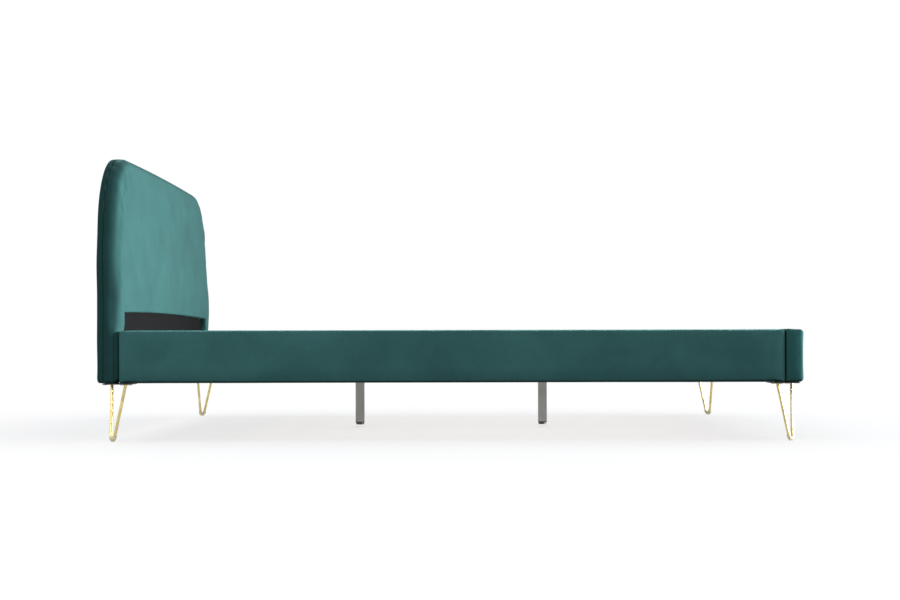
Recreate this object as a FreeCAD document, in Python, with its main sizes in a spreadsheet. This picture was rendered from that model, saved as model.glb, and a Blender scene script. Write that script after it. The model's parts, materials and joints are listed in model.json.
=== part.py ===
import FreeCAD, Part
import math
import os
import re
import Sketcher

# Upholstered double bed with a headboard, a slatted base and hairpin legs.
# Frame: X runs from the head (-X) to the foot (+X), +Y is the left side of a
# sleeper lying on their back, Z is up. The origin is on the floor, at the
# bottom centre of the whole bed. All sizes are millimetres.

doc = FreeCAD.newDocument("upholstered_bed")
sheet = doc.addObject("Spreadsheet::Sheet", "sizes")

SIZES = {
    # whole bed
    "half_length": 1067, "bed_underside": 178, "rail_half_width": 795, "seam_gap": 1.5,
    # headboard outline
    "board_half_width": 800, "board_top": 885, "shoulder_height": 368, "side_radius": 1490,
    "corner_radius": 205, "crown_radius": 36000,
    # headboard layers
    "board_depth": 63, "skin": 2, "side_padding": 12, "frame_depth": 28, "frame_band": 70,
    "face_depth": 5, "front_roll": 25, "back_roll": 6, "side_seam": 21, "skin_gap": 0.3,
    "frame_joint_height": 640, "mid_rail_bottom": 372, "mid_rail_height": 60,
    "stile_width": 60, "stile_offset": 260,
    # recessed lower panel of the headboard
    "panel_half_width": 710, "panel_top": 402, "panel_bow": 7, "panel_depth": 20,
    # side rails and foot rail
    "rail_depth": 36, "rail_height": 159, "rail_roll": 7, "rail_board": 20,
    "foot_depth": 50, "foot_height": 162, "foot_roll": 8, "lining": 1.7, "lining_inset": 3,
    "board_inset": 4,
    # slat ledges
    "ledge_width": 30, "ledge_height": 25, "deck_height": 270,
    # corner brackets
    "bracket_sheet": 3, "bracket_flange": 40, "bracket_leg": 125, "bracket_bottom": 200,
    "bracket_height": 120, "bolt_level_low": 225, "bolt_level_high": 295,
    "bolt_reach_near": 65, "bolt_reach_far": 105, "bracket_pocket": 5,
    # M8 bolts and threaded inserts
    "bolt_shank": 8, "bolt_length": 25, "bolt_head": 13, "bolt_head_height": 5,
    "hex_socket": 5, "hex_socket_depth": 3, "insert_outer": 12, "insert_length": 18,
    # centre beam and its brackets
    "beam_width": 30, "beam_height": 60, "beam_wall": 2, "beam_end_gap": 2,
    "saddle_plate_width": 90, "saddle_plate_height": 90, "saddle_plate_bottom": 195,
    "saddle_reach": 40, "saddle_cheek_height": 40, "saddle_bolt_offset": 32,
    # M6 bolts
    "small_shank": 6, "small_length": 20, "small_head": 10, "small_head_height": 4,
    # centre support legs
    "support_head_x": -328, "support_foot_x": 321, "support_width": 30, "support_wall": 1.5,
    "support_plate": 80, "support_bolt_offset": 27, "plug_flange": 3, "plug_length": 30,
    # levelling glides
    "glide_travel": 8, "pad_diameter": 28, "pad_height": 6.7, "stem_diameter": 8,
    "stem_length": 40, "thread_gap": 0.3, "pad_floor": 4,
    # hairpin legs
    "rod_diameter": 9.5, "rod_bend": 9.5, "rod_spread": 55, "rod_toe": 12,
    "leg_head_inset": 28, "leg_foot_inset": 18, "leg_side_inset": 22,
    "plate_margin": 15, "plate_size": 90, "plate_sheet": 3, "plate_corner": 10,
    # floor protectors
    "protector_sole": 2, "protector_length": 33, "protector_width": 15,
    "protector_height": 16, "protector_round": 3,
    # wood screws of the leg plates
    "screw_shank": 4.5, "screw_length": 28, "screw_head": 9, "screw_head_height": 2.5,
    # slats and their caps
    "slat_count": 14, "slat_pitch": 142, "slat_width": 53, "slat_thickness": 8, "slat_rise": 8,
    "slat_start": 26, "slat_end": 742, "cap_sole": 3, "cap_length": 34, "cap_wall": 2.5,
    "cap_half_width": 30, "cap_height": 14, "centre_cap_length": 90,
}

for row, (alias, value) in enumerate(SIZES.items(), start=1):
    sheet.set(f"A{row}", alias.replace("_", " "))
    sheet.set(f"B{row}", str(value))
    sheet.setAlias(f"B{row}", alias)
doc.recompute()


def size(alias):
    """Value of one driving dimension, read from the sheet."""
    return float(sheet.get(alias))


def bind(obj, prop, formula):
    """Bind a property to a formula written in the sheet's own words."""
    text = re.sub(r"[a-z][a-z_]+", lambda word: "sizes." + word.group(0)
                  if word.group(0) in SIZES else word.group(0), str(formula))
    obj.setExpression(prop, text)


def make_box(name, low, high):
    """Box between two corners, each given as three formulas."""
    box = doc.addObject("Part::Box", name)
    for prop, start, end in zip(("Length", "Width", "Height"), low, high):
        bind(box, prop, f"({end}) - ({start})")
    for axis, start in zip("xyz", low):
        bind(box, f"Placement.Base.{axis}", start)
    return box


def make_rolled_box(name, low, high, roll, keep_sharp):
    """Body of one box whose edges are rolled over, except those that keep_sharp picks."""
    body = doc.addObject("PartDesign::Body", name)
    block = body.newObject("PartDesign::AdditiveBox", name + "_block")
    for prop, start, end in zip(("Length", "Width", "Height"), low, high):
        bind(block, prop, f"({end}) - ({start})")
    for axis, start in zip("xyz", low):
        bind(block, f"Placement.Base.{axis}", start)
    doc.recompute()
    rolled = [f"Edge{number}" for number, edge in enumerate(block.Shape.Edges, start=1)
              if not keep_sharp(edge)]
    fillet = body.newObject("PartDesign::Fillet", name + "_roll")
    fillet.Base = (block, rolled)
    bind(fillet, "Radius", roll)
    return body


def cut(name, base, tools):
    """Base with every tool taken away."""
    result = doc.addObject("Part::Cut", name)
    result.Base = base
    result.Tool = tools[0] if len(tools) == 1 else join(name + "_tools", tools)
    return result


def join(name, shapes):
    """Several shapes joined into one."""
    result = doc.addObject("Part::MultiFuse", name)
    result.Shapes = shapes
    return result


def overlap(name, base, tool):
    """The part of base that lies inside tool."""
    result = doc.addObject("Part::Common", name)
    result.Base = base
    result.Tool = tool
    return result


def origin_plane(body, role):
    return next(item for item in body.Origin.OriginFeatures if item.Role == role)


def make_group(name, master, placements):
    """Identical separate solids: copies of one master shape in one node."""
    doc.recompute()
    copies = []
    for placement in placements:
        copy = master.Shape.copy()
        copy.Placement = placement.multiply(master.Shape.Placement)
        copies.append(copy)
    group = doc.addObject("Part::Feature", name)
    group.Shape = Part.makeCompound(copies)
    group.Placement = FreeCAD.Placement()
    return group


PARTS = []


def finish(obj, label):
    """Name a finished sub-part."""
    obj.Label = label
    PARTS.append(obj)
    return obj


# ---------------------------------------------------------------------------
# Headboard outline: straight sides, a long side arc, a corner arc and a
# slightly crowned top. Every layer uses the same outline with its own inset.
# ---------------------------------------------------------------------------

def inset_value(inset):
    """Number behind an inset that is zero, one size or a sum of sizes."""
    return sum(size(word) for word in re.findall(r"[a-z][a-z_]+", str(inset)))


def make_outline_block(name, inset, back, front, roll=None, roll_side=None):
    """Headboard outline with an inset, from one depth to another along X."""
    body = doc.addObject("PartDesign::Body", name)
    sketch = body.newObject("Sketcher::SketchObject", name + "_outline")
    sketch.AttachmentSupport = (origin_plane(body, "YZ_Plane"), "")
    sketch.MapMode = "FlatFace"
    bind(sketch, "AttachmentOffset.Base.z", back)

    gap = inset_value(inset)
    half = size("board_half_width") - gap
    bottom = size("bed_underside") + gap
    shoulder = size("shoulder_height")
    side = size("side_radius") - gap
    corner = size("corner_radius") - gap
    crown = size("crown_radius") - gap
    crown_centre = size("board_top") - size("crown_radius")

    # The corner arc touches the side arc and the crown arc from inside.
    side_centre = FreeCAD.Vector(half - side, shoulder, 0)
    reach_side = side - corner
    reach_crown = crown - corner
    span = math.hypot(side_centre.x, side_centre.y - crown_centre)
    bearing = math.atan2(side_centre.y - crown_centre, side_centre.x)
    swing = math.acos((reach_crown ** 2 + span ** 2 - reach_side ** 2) / (2 * reach_crown * span))
    top_angle = bearing - swing
    corner_centre = FreeCAD.Vector(reach_crown * math.cos(top_angle),
                                   crown_centre + reach_crown * math.sin(top_angle), 0)
    side_angle = math.atan2(corner_centre.y - side_centre.y, corner_centre.x - side_centre.x)

    def arc(x, y, radius, start, end):
        circle = Part.Circle(FreeCAD.Vector(x, y, 0), FreeCAD.Vector(0, 0, 1), radius)
        return Part.ArcOfCircle(circle, start, end)

    def line(x_start, y_start, x_end, y_end):
        return Part.LineSegment(FreeCAD.Vector(x_start, y_start, 0), FreeCAD.Vector(x_end, y_end, 0))

    half_turn = math.pi
    sketch.addGeometry([
        line(-half, bottom, half, bottom),
        line(half, bottom, half, shoulder),
        arc(side_centre.x, side_centre.y, side, 0, side_angle),
        arc(corner_centre.x, corner_centre.y, corner, side_angle, top_angle),
        arc(0, crown_centre, crown, top_angle, half_turn - top_angle),
        arc(-corner_centre.x, corner_centre.y, corner, half_turn - top_angle, half_turn - side_angle),
        arc(-side_centre.x, side_centre.y, side, half_turn - side_angle, half_turn),
        line(-half, shoulder, -half, bottom),
    ], False)
    bottom_line, right_line, right_side, right_corner, crown_arc = range(5)
    left_corner, left_side, left_line = range(5, 8)
    start, end, centre = 1, 2, 3
    origin, vertical_axis = -1, -2
    for first in range(right_line, left_line):
        sketch.addConstraint(Sketcher.Constraint("Tangent", first, end, first + 1, start))
    sketch.addConstraint([
        Sketcher.Constraint("Coincident", bottom_line, end, right_line, start),
        Sketcher.Constraint("Coincident", left_line, end, bottom_line, start),
        Sketcher.Constraint("Horizontal", bottom_line),
        Sketcher.Constraint("Vertical", right_line),
        Sketcher.Constraint("Vertical", left_line),
        Sketcher.Constraint("PointOnObject", crown_arc, centre, vertical_axis),
        Sketcher.Constraint("Equal", right_side, left_side),
        Sketcher.Constraint("Equal", right_corner, left_corner),
    ])

    def measured(kind, formula, *arguments):
        number = sketch.addConstraint(Sketcher.Constraint(kind, *arguments))
        bind(sketch, f"Constraints[{number}]", formula)

    measured("DistanceX", f"2 * (board_half_width - {inset})", bottom_line, start, bottom_line, end,
             2 * half)
    measured("DistanceX", f"board_half_width - {inset}", origin, 1, bottom_line, end, half)
    measured("DistanceY", f"bed_underside + {inset}", origin, 1, bottom_line, start, bottom)
    measured("DistanceY", "shoulder_height", origin, 1, right_line, end, shoulder)
    measured("DistanceY", "shoulder_height", origin, 1, left_line, start, shoulder)
    measured("Radius", f"side_radius - {inset}", right_side, side)
    measured("Radius", f"corner_radius - {inset}", right_corner, corner)
    measured("Radius", f"crown_radius - {inset}", crown_arc, crown)
    measured("DistanceY", "crown_radius - board_top", crown_arc, centre, origin, 1, -crown_centre)

    pad = body.newObject("PartDesign::Pad", name + "_pad")
    pad.Profile = sketch
    bind(pad, "Length", f"({front}) - ({back})")
    doc.recompute()
    if roll:
        depth = max if roll_side == "front" else min
        face = depth(edge.CenterOfMass.x for edge in pad.Shape.Edges)
        rolled = [f"Edge{number}" for number, edge in enumerate(pad.Shape.Edges, start=1)
                  if abs(edge.BoundBox.XMin - face) < 0.01 and edge.BoundBox.XLength < 0.01]
        fillet = body.newObject("PartDesign::Fillet", name + "_roll")
        fillet.Base = (pad, rolled)
        bind(fillet, "Radius", roll)
        doc.recompute()
    return body


BACK = "-half_length"
FRONT = "-half_length + board_depth"
FRAME_BACK = "-half_length + skin"
FACE_BACK = "-half_length + skin + frame_depth"
FACE_FRONT = "-half_length + skin + frame_depth + face_depth"
SEAM = "-half_length + side_seam"
PANEL_FACE = "-half_length + board_depth - panel_depth"
FRAME_INSET = "side_padding"
OPEN_INSET = "(side_padding + frame_band)"
# How far a cutting shape runs past the face that it opens: well clear, or just past.
BEYOND = 50
PAST = 1


def make_window(name, half_width, top, back):
    """Recess in the headboard front: open below, with a slightly bowed top edge."""
    body = doc.addObject("PartDesign::Body", name)
    sketch = body.newObject("Sketcher::SketchObject", name + "_outline")
    sketch.AttachmentSupport = (origin_plane(body, "YZ_Plane"), "")
    sketch.MapMode = "FlatFace"
    bind(sketch, "AttachmentOffset.Base.z", back)
    width = size("panel_half_width")
    height = size("panel_top") - size("panel_bow")
    rise = size("panel_bow")
    low = 0
    radius = (width ** 2 + rise ** 2) / (2 * rise)
    centre_height = height + rise - radius
    angle = math.asin(width / radius)
    circle = Part.Circle(FreeCAD.Vector(0, centre_height, 0), FreeCAD.Vector(0, 0, 1), radius)
    sketch.addGeometry([
        Part.LineSegment(FreeCAD.Vector(-width, low, 0), FreeCAD.Vector(width, low, 0)),
        Part.LineSegment(FreeCAD.Vector(width, low, 0), FreeCAD.Vector(width, height, 0)),
        Part.ArcOfCircle(circle, math.pi / 2 - angle, math.pi / 2 + angle),
        Part.LineSegment(FreeCAD.Vector(-width, height, 0), FreeCAD.Vector(-width, low, 0)),
    ], False)
    bottom_line, right_line, bow, left_line = range(4)
    start, end, centre = 1, 2, 3
    origin, horizontal_axis, vertical_axis = -1, -1, -2
    sketch.addConstraint([
        Sketcher.Constraint("Coincident", bottom_line, end, right_line, start),
        Sketcher.Constraint("Coincident", right_line, end, bow, start),
        Sketcher.Constraint("Coincident", bow, end, left_line, start),
        Sketcher.Constraint("Coincident", left_line, end, bottom_line, start),
        Sketcher.Constraint("PointOnObject", bottom_line, start, horizontal_axis),
        Sketcher.Constraint("Horizontal", bottom_line),
        Sketcher.Constraint("Vertical", right_line),
        Sketcher.Constraint("Vertical", left_line),
        Sketcher.Constraint("PointOnObject", bow, centre, vertical_axis),
    ])
    right = sketch.addConstraint(Sketcher.Constraint("DistanceX", origin, 1, right_line, end, width))
    bind(sketch, f"Constraints[{right}]", half_width)
    level = sketch.addConstraint(Sketcher.Constraint("DistanceY", origin, 1, right_line, end, height))
    bind(sketch, f"Constraints[{level}]", f"({top}) - panel_bow")
    curve = sketch.addConstraint(Sketcher.Constraint("Radius", bow, radius))
    bind(sketch, f"Constraints[{curve}]", f"(({half_width})^2 + panel_bow^2) / (2 * panel_bow)")
    pad = body.newObject("PartDesign::Pad", name + "_pad")
    pad.Profile = sketch
    bind(pad, "Length", f"panel_depth + {BEYOND}")
    doc.recompute()
    return body


# Fasteners are made first, because the pieces that they pass through are cut
# with the fasteners themselves.

def make_bolt(name, shank, length, head, head_height, socket=True):
    """Bolt along +X: the shank runs from the origin, the head sits behind it."""
    body = doc.addObject("PartDesign::Body", name)
    for part_name, diameter, thickness, offset in (
            ("head", head, head_height, f"-{head_height}"), ("shank", shank, length, 0)):
        cylinder = body.newObject("PartDesign::AdditiveCylinder", f"{name}_{part_name}")
        bind(cylinder, "Radius", f"{diameter} / 2")
        bind(cylinder, "Height", thickness)
        cylinder.Placement.Rotation = FreeCAD.Rotation(FreeCAD.Vector(0, 1, 0), 90)
        bind(cylinder, "Placement.Base.x", offset)
    if socket:
        prism = body.newObject("PartDesign::SubtractivePrism", name + "_socket")
        prism.Polygon = 6
        bind(prism, "Circumradius", "hex_socket / 2 / cos(30)")
        bind(prism, "Height", "hex_socket_depth")
        prism.Placement.Rotation = FreeCAD.Rotation(FreeCAD.Vector(0, 1, 0), 90)
        bind(prism, "Placement.Base.x", f"-{head_height}")
    doc.recompute()
    return body


def make_insert(name):
    """Threaded sleeve along +X."""
    body = doc.addObject("PartDesign::Body", name)
    sleeve = body.newObject("PartDesign::AdditiveCylinder", name + "_sleeve")
    bind(sleeve, "Radius", "insert_outer / 2")
    bind(sleeve, "Height", "insert_length")
    bore = body.newObject("PartDesign::SubtractiveCylinder", name + "_bore")
    bind(bore, "Radius", "bolt_shank / 2")
    bind(bore, "Height", "insert_length")
    for cylinder in (sleeve, bore):
        cylinder.Placement.Rotation = FreeCAD.Rotation(FreeCAD.Vector(0, 1, 0), 90)
    doc.recompute()
    return body


X_AXIS = FreeCAD.Vector(1, 0, 0)


def aimed(point, direction):
    """Placement that carries the +X of a master shape to a direction at a point."""
    return FreeCAD.Placement(FreeCAD.Vector(*point), FreeCAD.Rotation(X_AXIS, FreeCAD.Vector(*direction)))


SIDES = {"right": -1, "left": 1}
ENDS = {"head": -1, "foot": 1}

rail_inner_face = size("rail_half_width") - size("rail_depth")
face_front = -size("half_length") + size("skin") + size("frame_depth") + size("face_depth")
foot_inner_face = size("half_length") - size("foot_depth")
end_faces = {"head": face_front, "foot": foot_inner_face}
sheet_metal = size("bracket_sheet")

bolt_places = []
insert_places = []
for side in SIDES.values():
    flange_bolt = side * (rail_inner_face - size("bracket_flange") / 2)
    for end_name, end in ENDS.items():
        face = end_faces[end_name]
        for level in (size("bolt_level_low"), size("bolt_level_high")):
            bolt_places.append(aimed((face - end * sheet_metal, flange_bolt, level), (end, 0, 0)))
            wood = face + end * (size("face_depth") if end < 0 else size("skin"))
            insert_places.append(aimed((wood, flange_bolt, level), (end, 0, 0)))
        for reach in (size("bolt_reach_near"), size("bolt_reach_far")):
            for level in (size("bolt_level_low"), size("bolt_level_high")):
                along = face - end * reach
                bolt_places.append(aimed((along, side * (rail_inner_face - sheet_metal), level),
                                         (0, side, 0)))
                insert_places.append(aimed((along, side * (rail_inner_face + size("skin")), level),
                                           (0, side, 0)))

bolt_master = make_bolt("bolt_master", "bolt_shank", "bolt_length", "bolt_head", "bolt_head_height")
insert_master = make_insert("insert_master")
bracket_bolts = finish(make_group("bracket_bolt_group", bolt_master, bolt_places), "bracket_bolts")
threaded_inserts = finish(make_group("insert_group", insert_master, insert_places), "threaded_inserts")

# M6 bolts: two in each beam bracket, two under each support leg's top plate.
small_places = []
saddle_level = size("bolt_level_low")
for end_name, end in ENDS.items():
    for side in SIDES.values():
        point = (end_faces[end_name] - end * sheet_metal, side * size("saddle_bolt_offset"), saddle_level)
        small_places.append(aimed(point, (end, 0, 0)))
plate_underside = size("deck_height") - size("beam_height") - sheet_metal
support_positions = {"head": size("support_head_x"), "foot": size("support_foot_x")}
for position in support_positions.values():
    for offset in (-size("support_bolt_offset"), size("support_bolt_offset")):
        small_places.append(aimed((position + offset, 0, plate_underside), (0, 0, 1)))
small_master = make_bolt("small_master", "small_shank", "small_length", "small_head", "small_head_height")
centre_bolts = finish(make_group("centre_bolt_group", small_master, small_places), "centre_support_bolts")

# Wood screws: four through each hairpin leg's plate, two into the end piece
# (headboard frame or foot rail board) and two into the side rail's board.
leg_corner = {"head": -size("half_length") + size("leg_head_inset"),
              "foot": size("half_length") - size("leg_foot_inset")}
leg_side = size("rail_half_width") - size("leg_side_inset")
end_wood = {"head": -size("half_length") + size("skin") + size("frame_depth") / 2,
            "foot": foot_inner_face + size("skin") + size("rail_board") / 2}
rail_wood = rail_inner_face + size("skin") + size("rail_board") / 2
end_screw_steps = (15, 38)
rail_screw_steps = (42, 68)
screw_places = []
for end_name, end in ENDS.items():
    for side in SIDES.values():
        underside = size("bed_underside") - size("plate_sheet")
        for step in end_screw_steps:
            screw_places.append(aimed((end_wood[end_name], side * (leg_side - step), underside),
                                      (0, 0, 1)))
        for step in rail_screw_steps:
            along = leg_corner[end_name] - end * step
            screw_places.append(aimed((along, side * rail_wood, underside), (0, 0, 1)))
screw_master = make_bolt("screw_master", "screw_shank", "screw_length", "screw_head",
                         "screw_head_height", socket=False)
leg_screws = finish(make_group("leg_screw_group", screw_master, screw_places), "leg_plate_screws")


# ---------------------------------------------------------------------------
# Headboard
# ---------------------------------------------------------------------------

outer_block = make_outline_block("pad_outer", 0, SEAM, FRONT, "front_roll", "front")
inner_block = make_outline_block("pad_inner", "skin", SEAM, f"{FRONT} - skin", "front_roll - skin",
                                 "front")
frame_block = make_outline_block("frame_outer", FRAME_INSET, FRAME_BACK, FACE_FRONT)
frame_slab = make_outline_block("frame_slab", FRAME_INSET, FRAME_BACK, FACE_BACK)
frame_opening = make_outline_block("frame_opening", OPEN_INSET, FRAME_BACK, FACE_BACK)
window = make_window("panel_window", "panel_half_width", "panel_top", PANEL_FACE)
wide_window = make_window("panel_window_wide", "panel_half_width + skin", "panel_top + skin", PANEL_FACE)

# Beside the recess the padding is cut away for the corner brackets, from below
# up to just over them, as far out as the inner faces of the side rails.
pockets = []
for side_name, side in SIDES.items():
    near = f"{side} * (panel_half_width - skin)"
    far = f"{side} * (rail_half_width - rail_depth + skin_gap)"
    low_y, high_y = (near, far) if side > 0 else (far, near)
    pockets.append(make_box(f"bracket_pocket_{side_name}", (FACE_FRONT, low_y, 0),
                            (f"{FRONT} + {BEYOND}", high_y,
                             "bracket_bottom + bracket_height + bracket_pocket")))
saddle_pocket = make_box("saddle_pocket",
                         (FACE_FRONT, f"-saddle_plate_width / 2 - {PAST}",
                          f"saddle_plate_bottom - {PAST}"),
                         (f"{FRONT} + {BEYOND}", f"saddle_plate_width / 2 + {PAST}",
                          f"saddle_plate_bottom + saddle_plate_height + {PAST}"))

foam_shape = cut("foam_with_window", inner_block, [wide_window])
cover_shell = cut("cover_shell", outer_block, [foam_shape, window])
finish(cut("cover_fitted", cover_shell, pockets + [leg_screws]), "headboard_cover")
finish(cut("foam_fitted", foam_shape, [frame_block, *pockets, saddle_pocket, leg_screws]),
       "headboard_foam")

back_outer = make_outline_block("back_outer", 0, BACK, f"{SEAM} - skin_gap", "back_roll", "back")
back_inner = make_outline_block("back_inner", "skin", FRAME_BACK, f"{SEAM} + skin")
finish(cut("back_fitted", back_outer, [back_inner, leg_screws]), "headboard_back_cover")

panel_slab = make_box("panel_slab",
                      (PANEL_FACE, "-panel_half_width + skin_gap", "bed_underside + skin"),
                      (f"{PANEL_FACE} + skin", "panel_half_width - skin_gap", "panel_top"))
panel_shape = overlap("panel_shape", panel_slab, window)
finish(cut("panel_fitted", panel_shape, [saddle_pocket, *pockets]), "headboard_lower_panel")

face_zone = make_box("face_zone", (FACE_BACK, "-board_half_width", 0),
                     (FACE_FRONT, "board_half_width", "board_top"))
face_shape = overlap("face_shape", frame_block, face_zone)
finish(cut("face_fitted", face_shape, [bracket_bolts, centre_bolts]), "headboard_face_board")

# Timber frame: a full-width bottom rail, two posts, a shaped top rail, a mid
# rail where the recessed panel ends and two upright stiles above it.
ring = cut("frame_ring", frame_slab, [frame_opening])
bottom_rail_top = "bed_underside + side_padding + frame_band"
frame_fasteners = [threaded_inserts, bracket_bolts, centre_bolts, leg_screws]


def frame_zone(name, low_y, high_y, low_z, high_z):
    return make_box(name, (BACK, low_y, low_z), (FRONT, high_y, high_z))


bottom_zone = frame_zone("bottom_rail_zone", "-board_half_width", "board_half_width", 0, bottom_rail_top)
finish(cut("bottom_rail_fitted", overlap("bottom_rail_shape", ring, bottom_zone), frame_fasteners),
       "headboard_bottom_rail")
for side_name, side in SIDES.items():
    low_y, high_y = ("-board_half_width", 0) if side < 0 else (0, "board_half_width")
    zone = frame_zone(f"post_zone_{side_name}", low_y, high_y, bottom_rail_top, "frame_joint_height")
    post = overlap(f"post_shape_{side_name}", ring, zone)
    finish(cut(f"post_fitted_{side_name}", post, [threaded_inserts, bracket_bolts]),
           f"headboard_post_{side_name}")
top_zone = frame_zone("top_rail_zone", "-board_half_width", "board_half_width",
                      "frame_joint_height", "board_top")
finish(overlap("top_rail_shape", ring, top_zone), "headboard_top_rail")
mid_zone = frame_zone("mid_rail_zone", "-board_half_width", "board_half_width",
                      "mid_rail_bottom", "mid_rail_bottom + mid_rail_height")
finish(overlap("mid_rail_shape", frame_opening, mid_zone), "headboard_mid_rail")
stile_zones = [frame_zone(f"stile_zone_{side_name}",
                          f"{side} * stile_offset - stile_width / 2",
                          f"{side} * stile_offset + stile_width / 2",
                          "mid_rail_bottom + mid_rail_height", "board_top")
               for side_name, side in SIDES.items()]
finish(overlap("stile_shapes", frame_opening, join("stile_zones", stile_zones)), "headboard_stiles")


# ---------------------------------------------------------------------------
# Side rails: board, padding over its outside and top, velvet cover, lining
# ---------------------------------------------------------------------------

RAIL_HEAD = "-half_length + board_depth + seam_gap"
RAIL_FOOT = "half_length - foot_depth - seam_gap"
RAIL_TOP = "bed_underside + rail_height"


def side_span(side, near, far):
    """Low and high Y of a strip that lies between two distances from the middle."""
    if side > 0:
        return near, far
    return f"-({far})", f"-({near})"


def on_plane(edge, axis, value):
    box = edge.BoundBox
    low, high = (box.YMin, box.YMax) if axis == "y" else (box.XMin, box.XMax)
    return abs(low - value) < 0.01 and abs(high - value) < 0.01


def make_side_rail(side_name, side):
    """Cover, padding, board, lining and slat ledge of one side rail."""
    inner = "rail_half_width - rail_depth"
    low_y, high_y = side_span(side, inner, "rail_half_width")
    sharp = side * rail_inner_face
    outer = make_rolled_box(f"rail_outer_{side_name}", (RAIL_HEAD, low_y, "bed_underside"),
                            (RAIL_FOOT, high_y, RAIL_TOP), "rail_roll",
                            lambda edge: on_plane(edge, "y", sharp))
    low_y, high_y = side_span(side, inner, "rail_half_width - skin")
    filling = make_rolled_box(f"rail_filling_{side_name}",
                              (f"{RAIL_HEAD} + skin", low_y, "bed_underside + skin"),
                              (f"{RAIL_FOOT} - skin", high_y, f"{RAIL_TOP} - skin"), "rail_roll - skin",
                              lambda edge: on_plane(edge, "y", sharp))
    finish(cut(f"rail_cover_{side_name}", outer, [filling, leg_screws]), f"side_rail_cover_{side_name}")

    low_y, high_y = side_span(side, inner, f"{inner} + skin + rail_board")
    board_space = make_box(f"rail_board_space_{side_name}",
                           (f"{RAIL_HEAD} + board_inset", low_y, "bed_underside + skin + board_inset"),
                           (f"{RAIL_FOOT} - board_inset", high_y, f"{RAIL_TOP} - skin - board_inset"))
    low_y, high_y = side_span(side, inner, f"{inner} + skin")
    lining_space = make_box(f"rail_lining_space_{side_name}", (RAIL_HEAD, low_y, "bed_underside"),
                            (RAIL_FOOT, high_y, RAIL_TOP))
    finish(cut(f"rail_foam_{side_name}", filling, [board_space, lining_space, leg_screws]),
           f"side_rail_foam_{side_name}")

    low_y, high_y = side_span(side, f"{inner} + skin", f"{inner} + skin + rail_board")
    board = make_box(f"rail_board_blank_{side_name}",
                     (f"{RAIL_HEAD} + board_inset", low_y, "bed_underside + skin + board_inset"),
                     (f"{RAIL_FOOT} - board_inset", high_y, f"{RAIL_TOP} - skin - board_inset"))
    finish(cut(f"rail_board_{side_name}", board, [threaded_inserts, bracket_bolts, leg_screws]),
           f"side_rail_board_{side_name}")

    low_y, high_y = side_span(side, inner, f"{inner} + lining")
    lining = make_box(f"rail_lining_blank_{side_name}",
                      (f"{RAIL_HEAD} + skin + lining_inset", low_y,
                       "bed_underside + skin + lining_inset"),
                      (f"{RAIL_FOOT} - skin - lining_inset", high_y, f"{RAIL_TOP} - skin - lining_inset"))
    finish(cut(f"rail_lining_{side_name}", lining, [bracket_bolts]), f"side_rail_lining_{side_name}")

    # The ledge is rebated over the legs of the two corner brackets.
    low_y, high_y = side_span(side, f"{inner} - ledge_width", inner)
    ledge = make_box(f"ledge_blank_{side_name}",
                     (f"{RAIL_HEAD} + skin", low_y, "deck_height - ledge_height"),
                     (f"{RAIL_FOOT} - skin", high_y, "deck_height"))
    low_y, high_y = side_span(side, f"{inner} - bracket_sheet - skin_gap", f"{inner} + {PAST}")
    rebates = [
        make_box(f"ledge_rebate_head_{side_name}", (BACK, low_y, 0),
                 (f"{FACE_FRONT} + bracket_leg + {PAST}", high_y, "board_top")),
        make_box(f"ledge_rebate_foot_{side_name}",
                 (f"half_length - foot_depth - bracket_leg - {PAST}", low_y, 0),
                 ("half_length", high_y, "board_top")),
    ]
    finish(cut(f"ledge_{side_name}", ledge, rebates), f"slat_ledge_{side_name}")


for side_name, side in SIDES.items():
    make_side_rail(side_name, side)


# ---------------------------------------------------------------------------
# Foot rail: runs the full width behind the ends of the side rails
# ---------------------------------------------------------------------------

FOOT_INNER = "half_length - foot_depth"
FOOT_TOP = "bed_underside + foot_height"
foot_sharp = foot_inner_face
foot_outer = make_rolled_box("foot_outer", (FOOT_INNER, "-rail_half_width", "bed_underside"),
                             ("half_length", "rail_half_width", FOOT_TOP), "foot_roll",
                             lambda edge: on_plane(edge, "x", foot_sharp))
foot_filling = make_rolled_box("foot_filling",
                               (FOOT_INNER, "-rail_half_width + skin", "bed_underside + skin"),
                               ("half_length - skin", "rail_half_width - skin", f"{FOOT_TOP} - skin"),
                               "foot_roll - skin", lambda edge: on_plane(edge, "x", foot_sharp))
finish(cut("foot_cover_fitted", foot_outer, [foot_filling, leg_screws]), "foot_rail_cover")
foot_board_low = f"{FOOT_INNER} + skin"
foot_board_high = f"{FOOT_INNER} + skin + rail_board"
foot_margin = "skin + board_inset"
foot_board_space = make_box("foot_board_space",
                            (FOOT_INNER, f"-rail_half_width + {foot_margin}",
                             f"bed_underside + {foot_margin}"),
                            (foot_board_high, f"rail_half_width - ({foot_margin})",
                             f"{FOOT_TOP} - ({foot_margin})"))
foot_lining_space = make_box("foot_lining_space", (FOOT_INNER, "-rail_half_width", "bed_underside"),
                             (foot_board_low, "rail_half_width", FOOT_TOP))
finish(cut("foot_foam_fitted", foot_filling, [foot_board_space, foot_lining_space, leg_screws]),
       "foot_rail_foam")
foot_board = make_box("foot_board_blank",
                      (foot_board_low, f"-rail_half_width + {foot_margin}",
                       f"bed_underside + {foot_margin}"),
                      (foot_board_high, f"rail_half_width - ({foot_margin})",
                       f"{FOOT_TOP} - ({foot_margin})"))
finish(cut("foot_board_fitted", foot_board, [threaded_inserts, bracket_bolts, centre_bolts, leg_screws]),
       "foot_rail_board")
lining_margin = "(skin + lining_inset)"
foot_lining = make_box("foot_lining_blank",
                       (FOOT_INNER, f"-rail_half_width + {lining_margin}",
                        f"bed_underside + {lining_margin}"),
                       (f"{FOOT_INNER} + lining", f"rail_half_width - {lining_margin}",
                        f"{FOOT_TOP} - {lining_margin}"))
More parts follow.
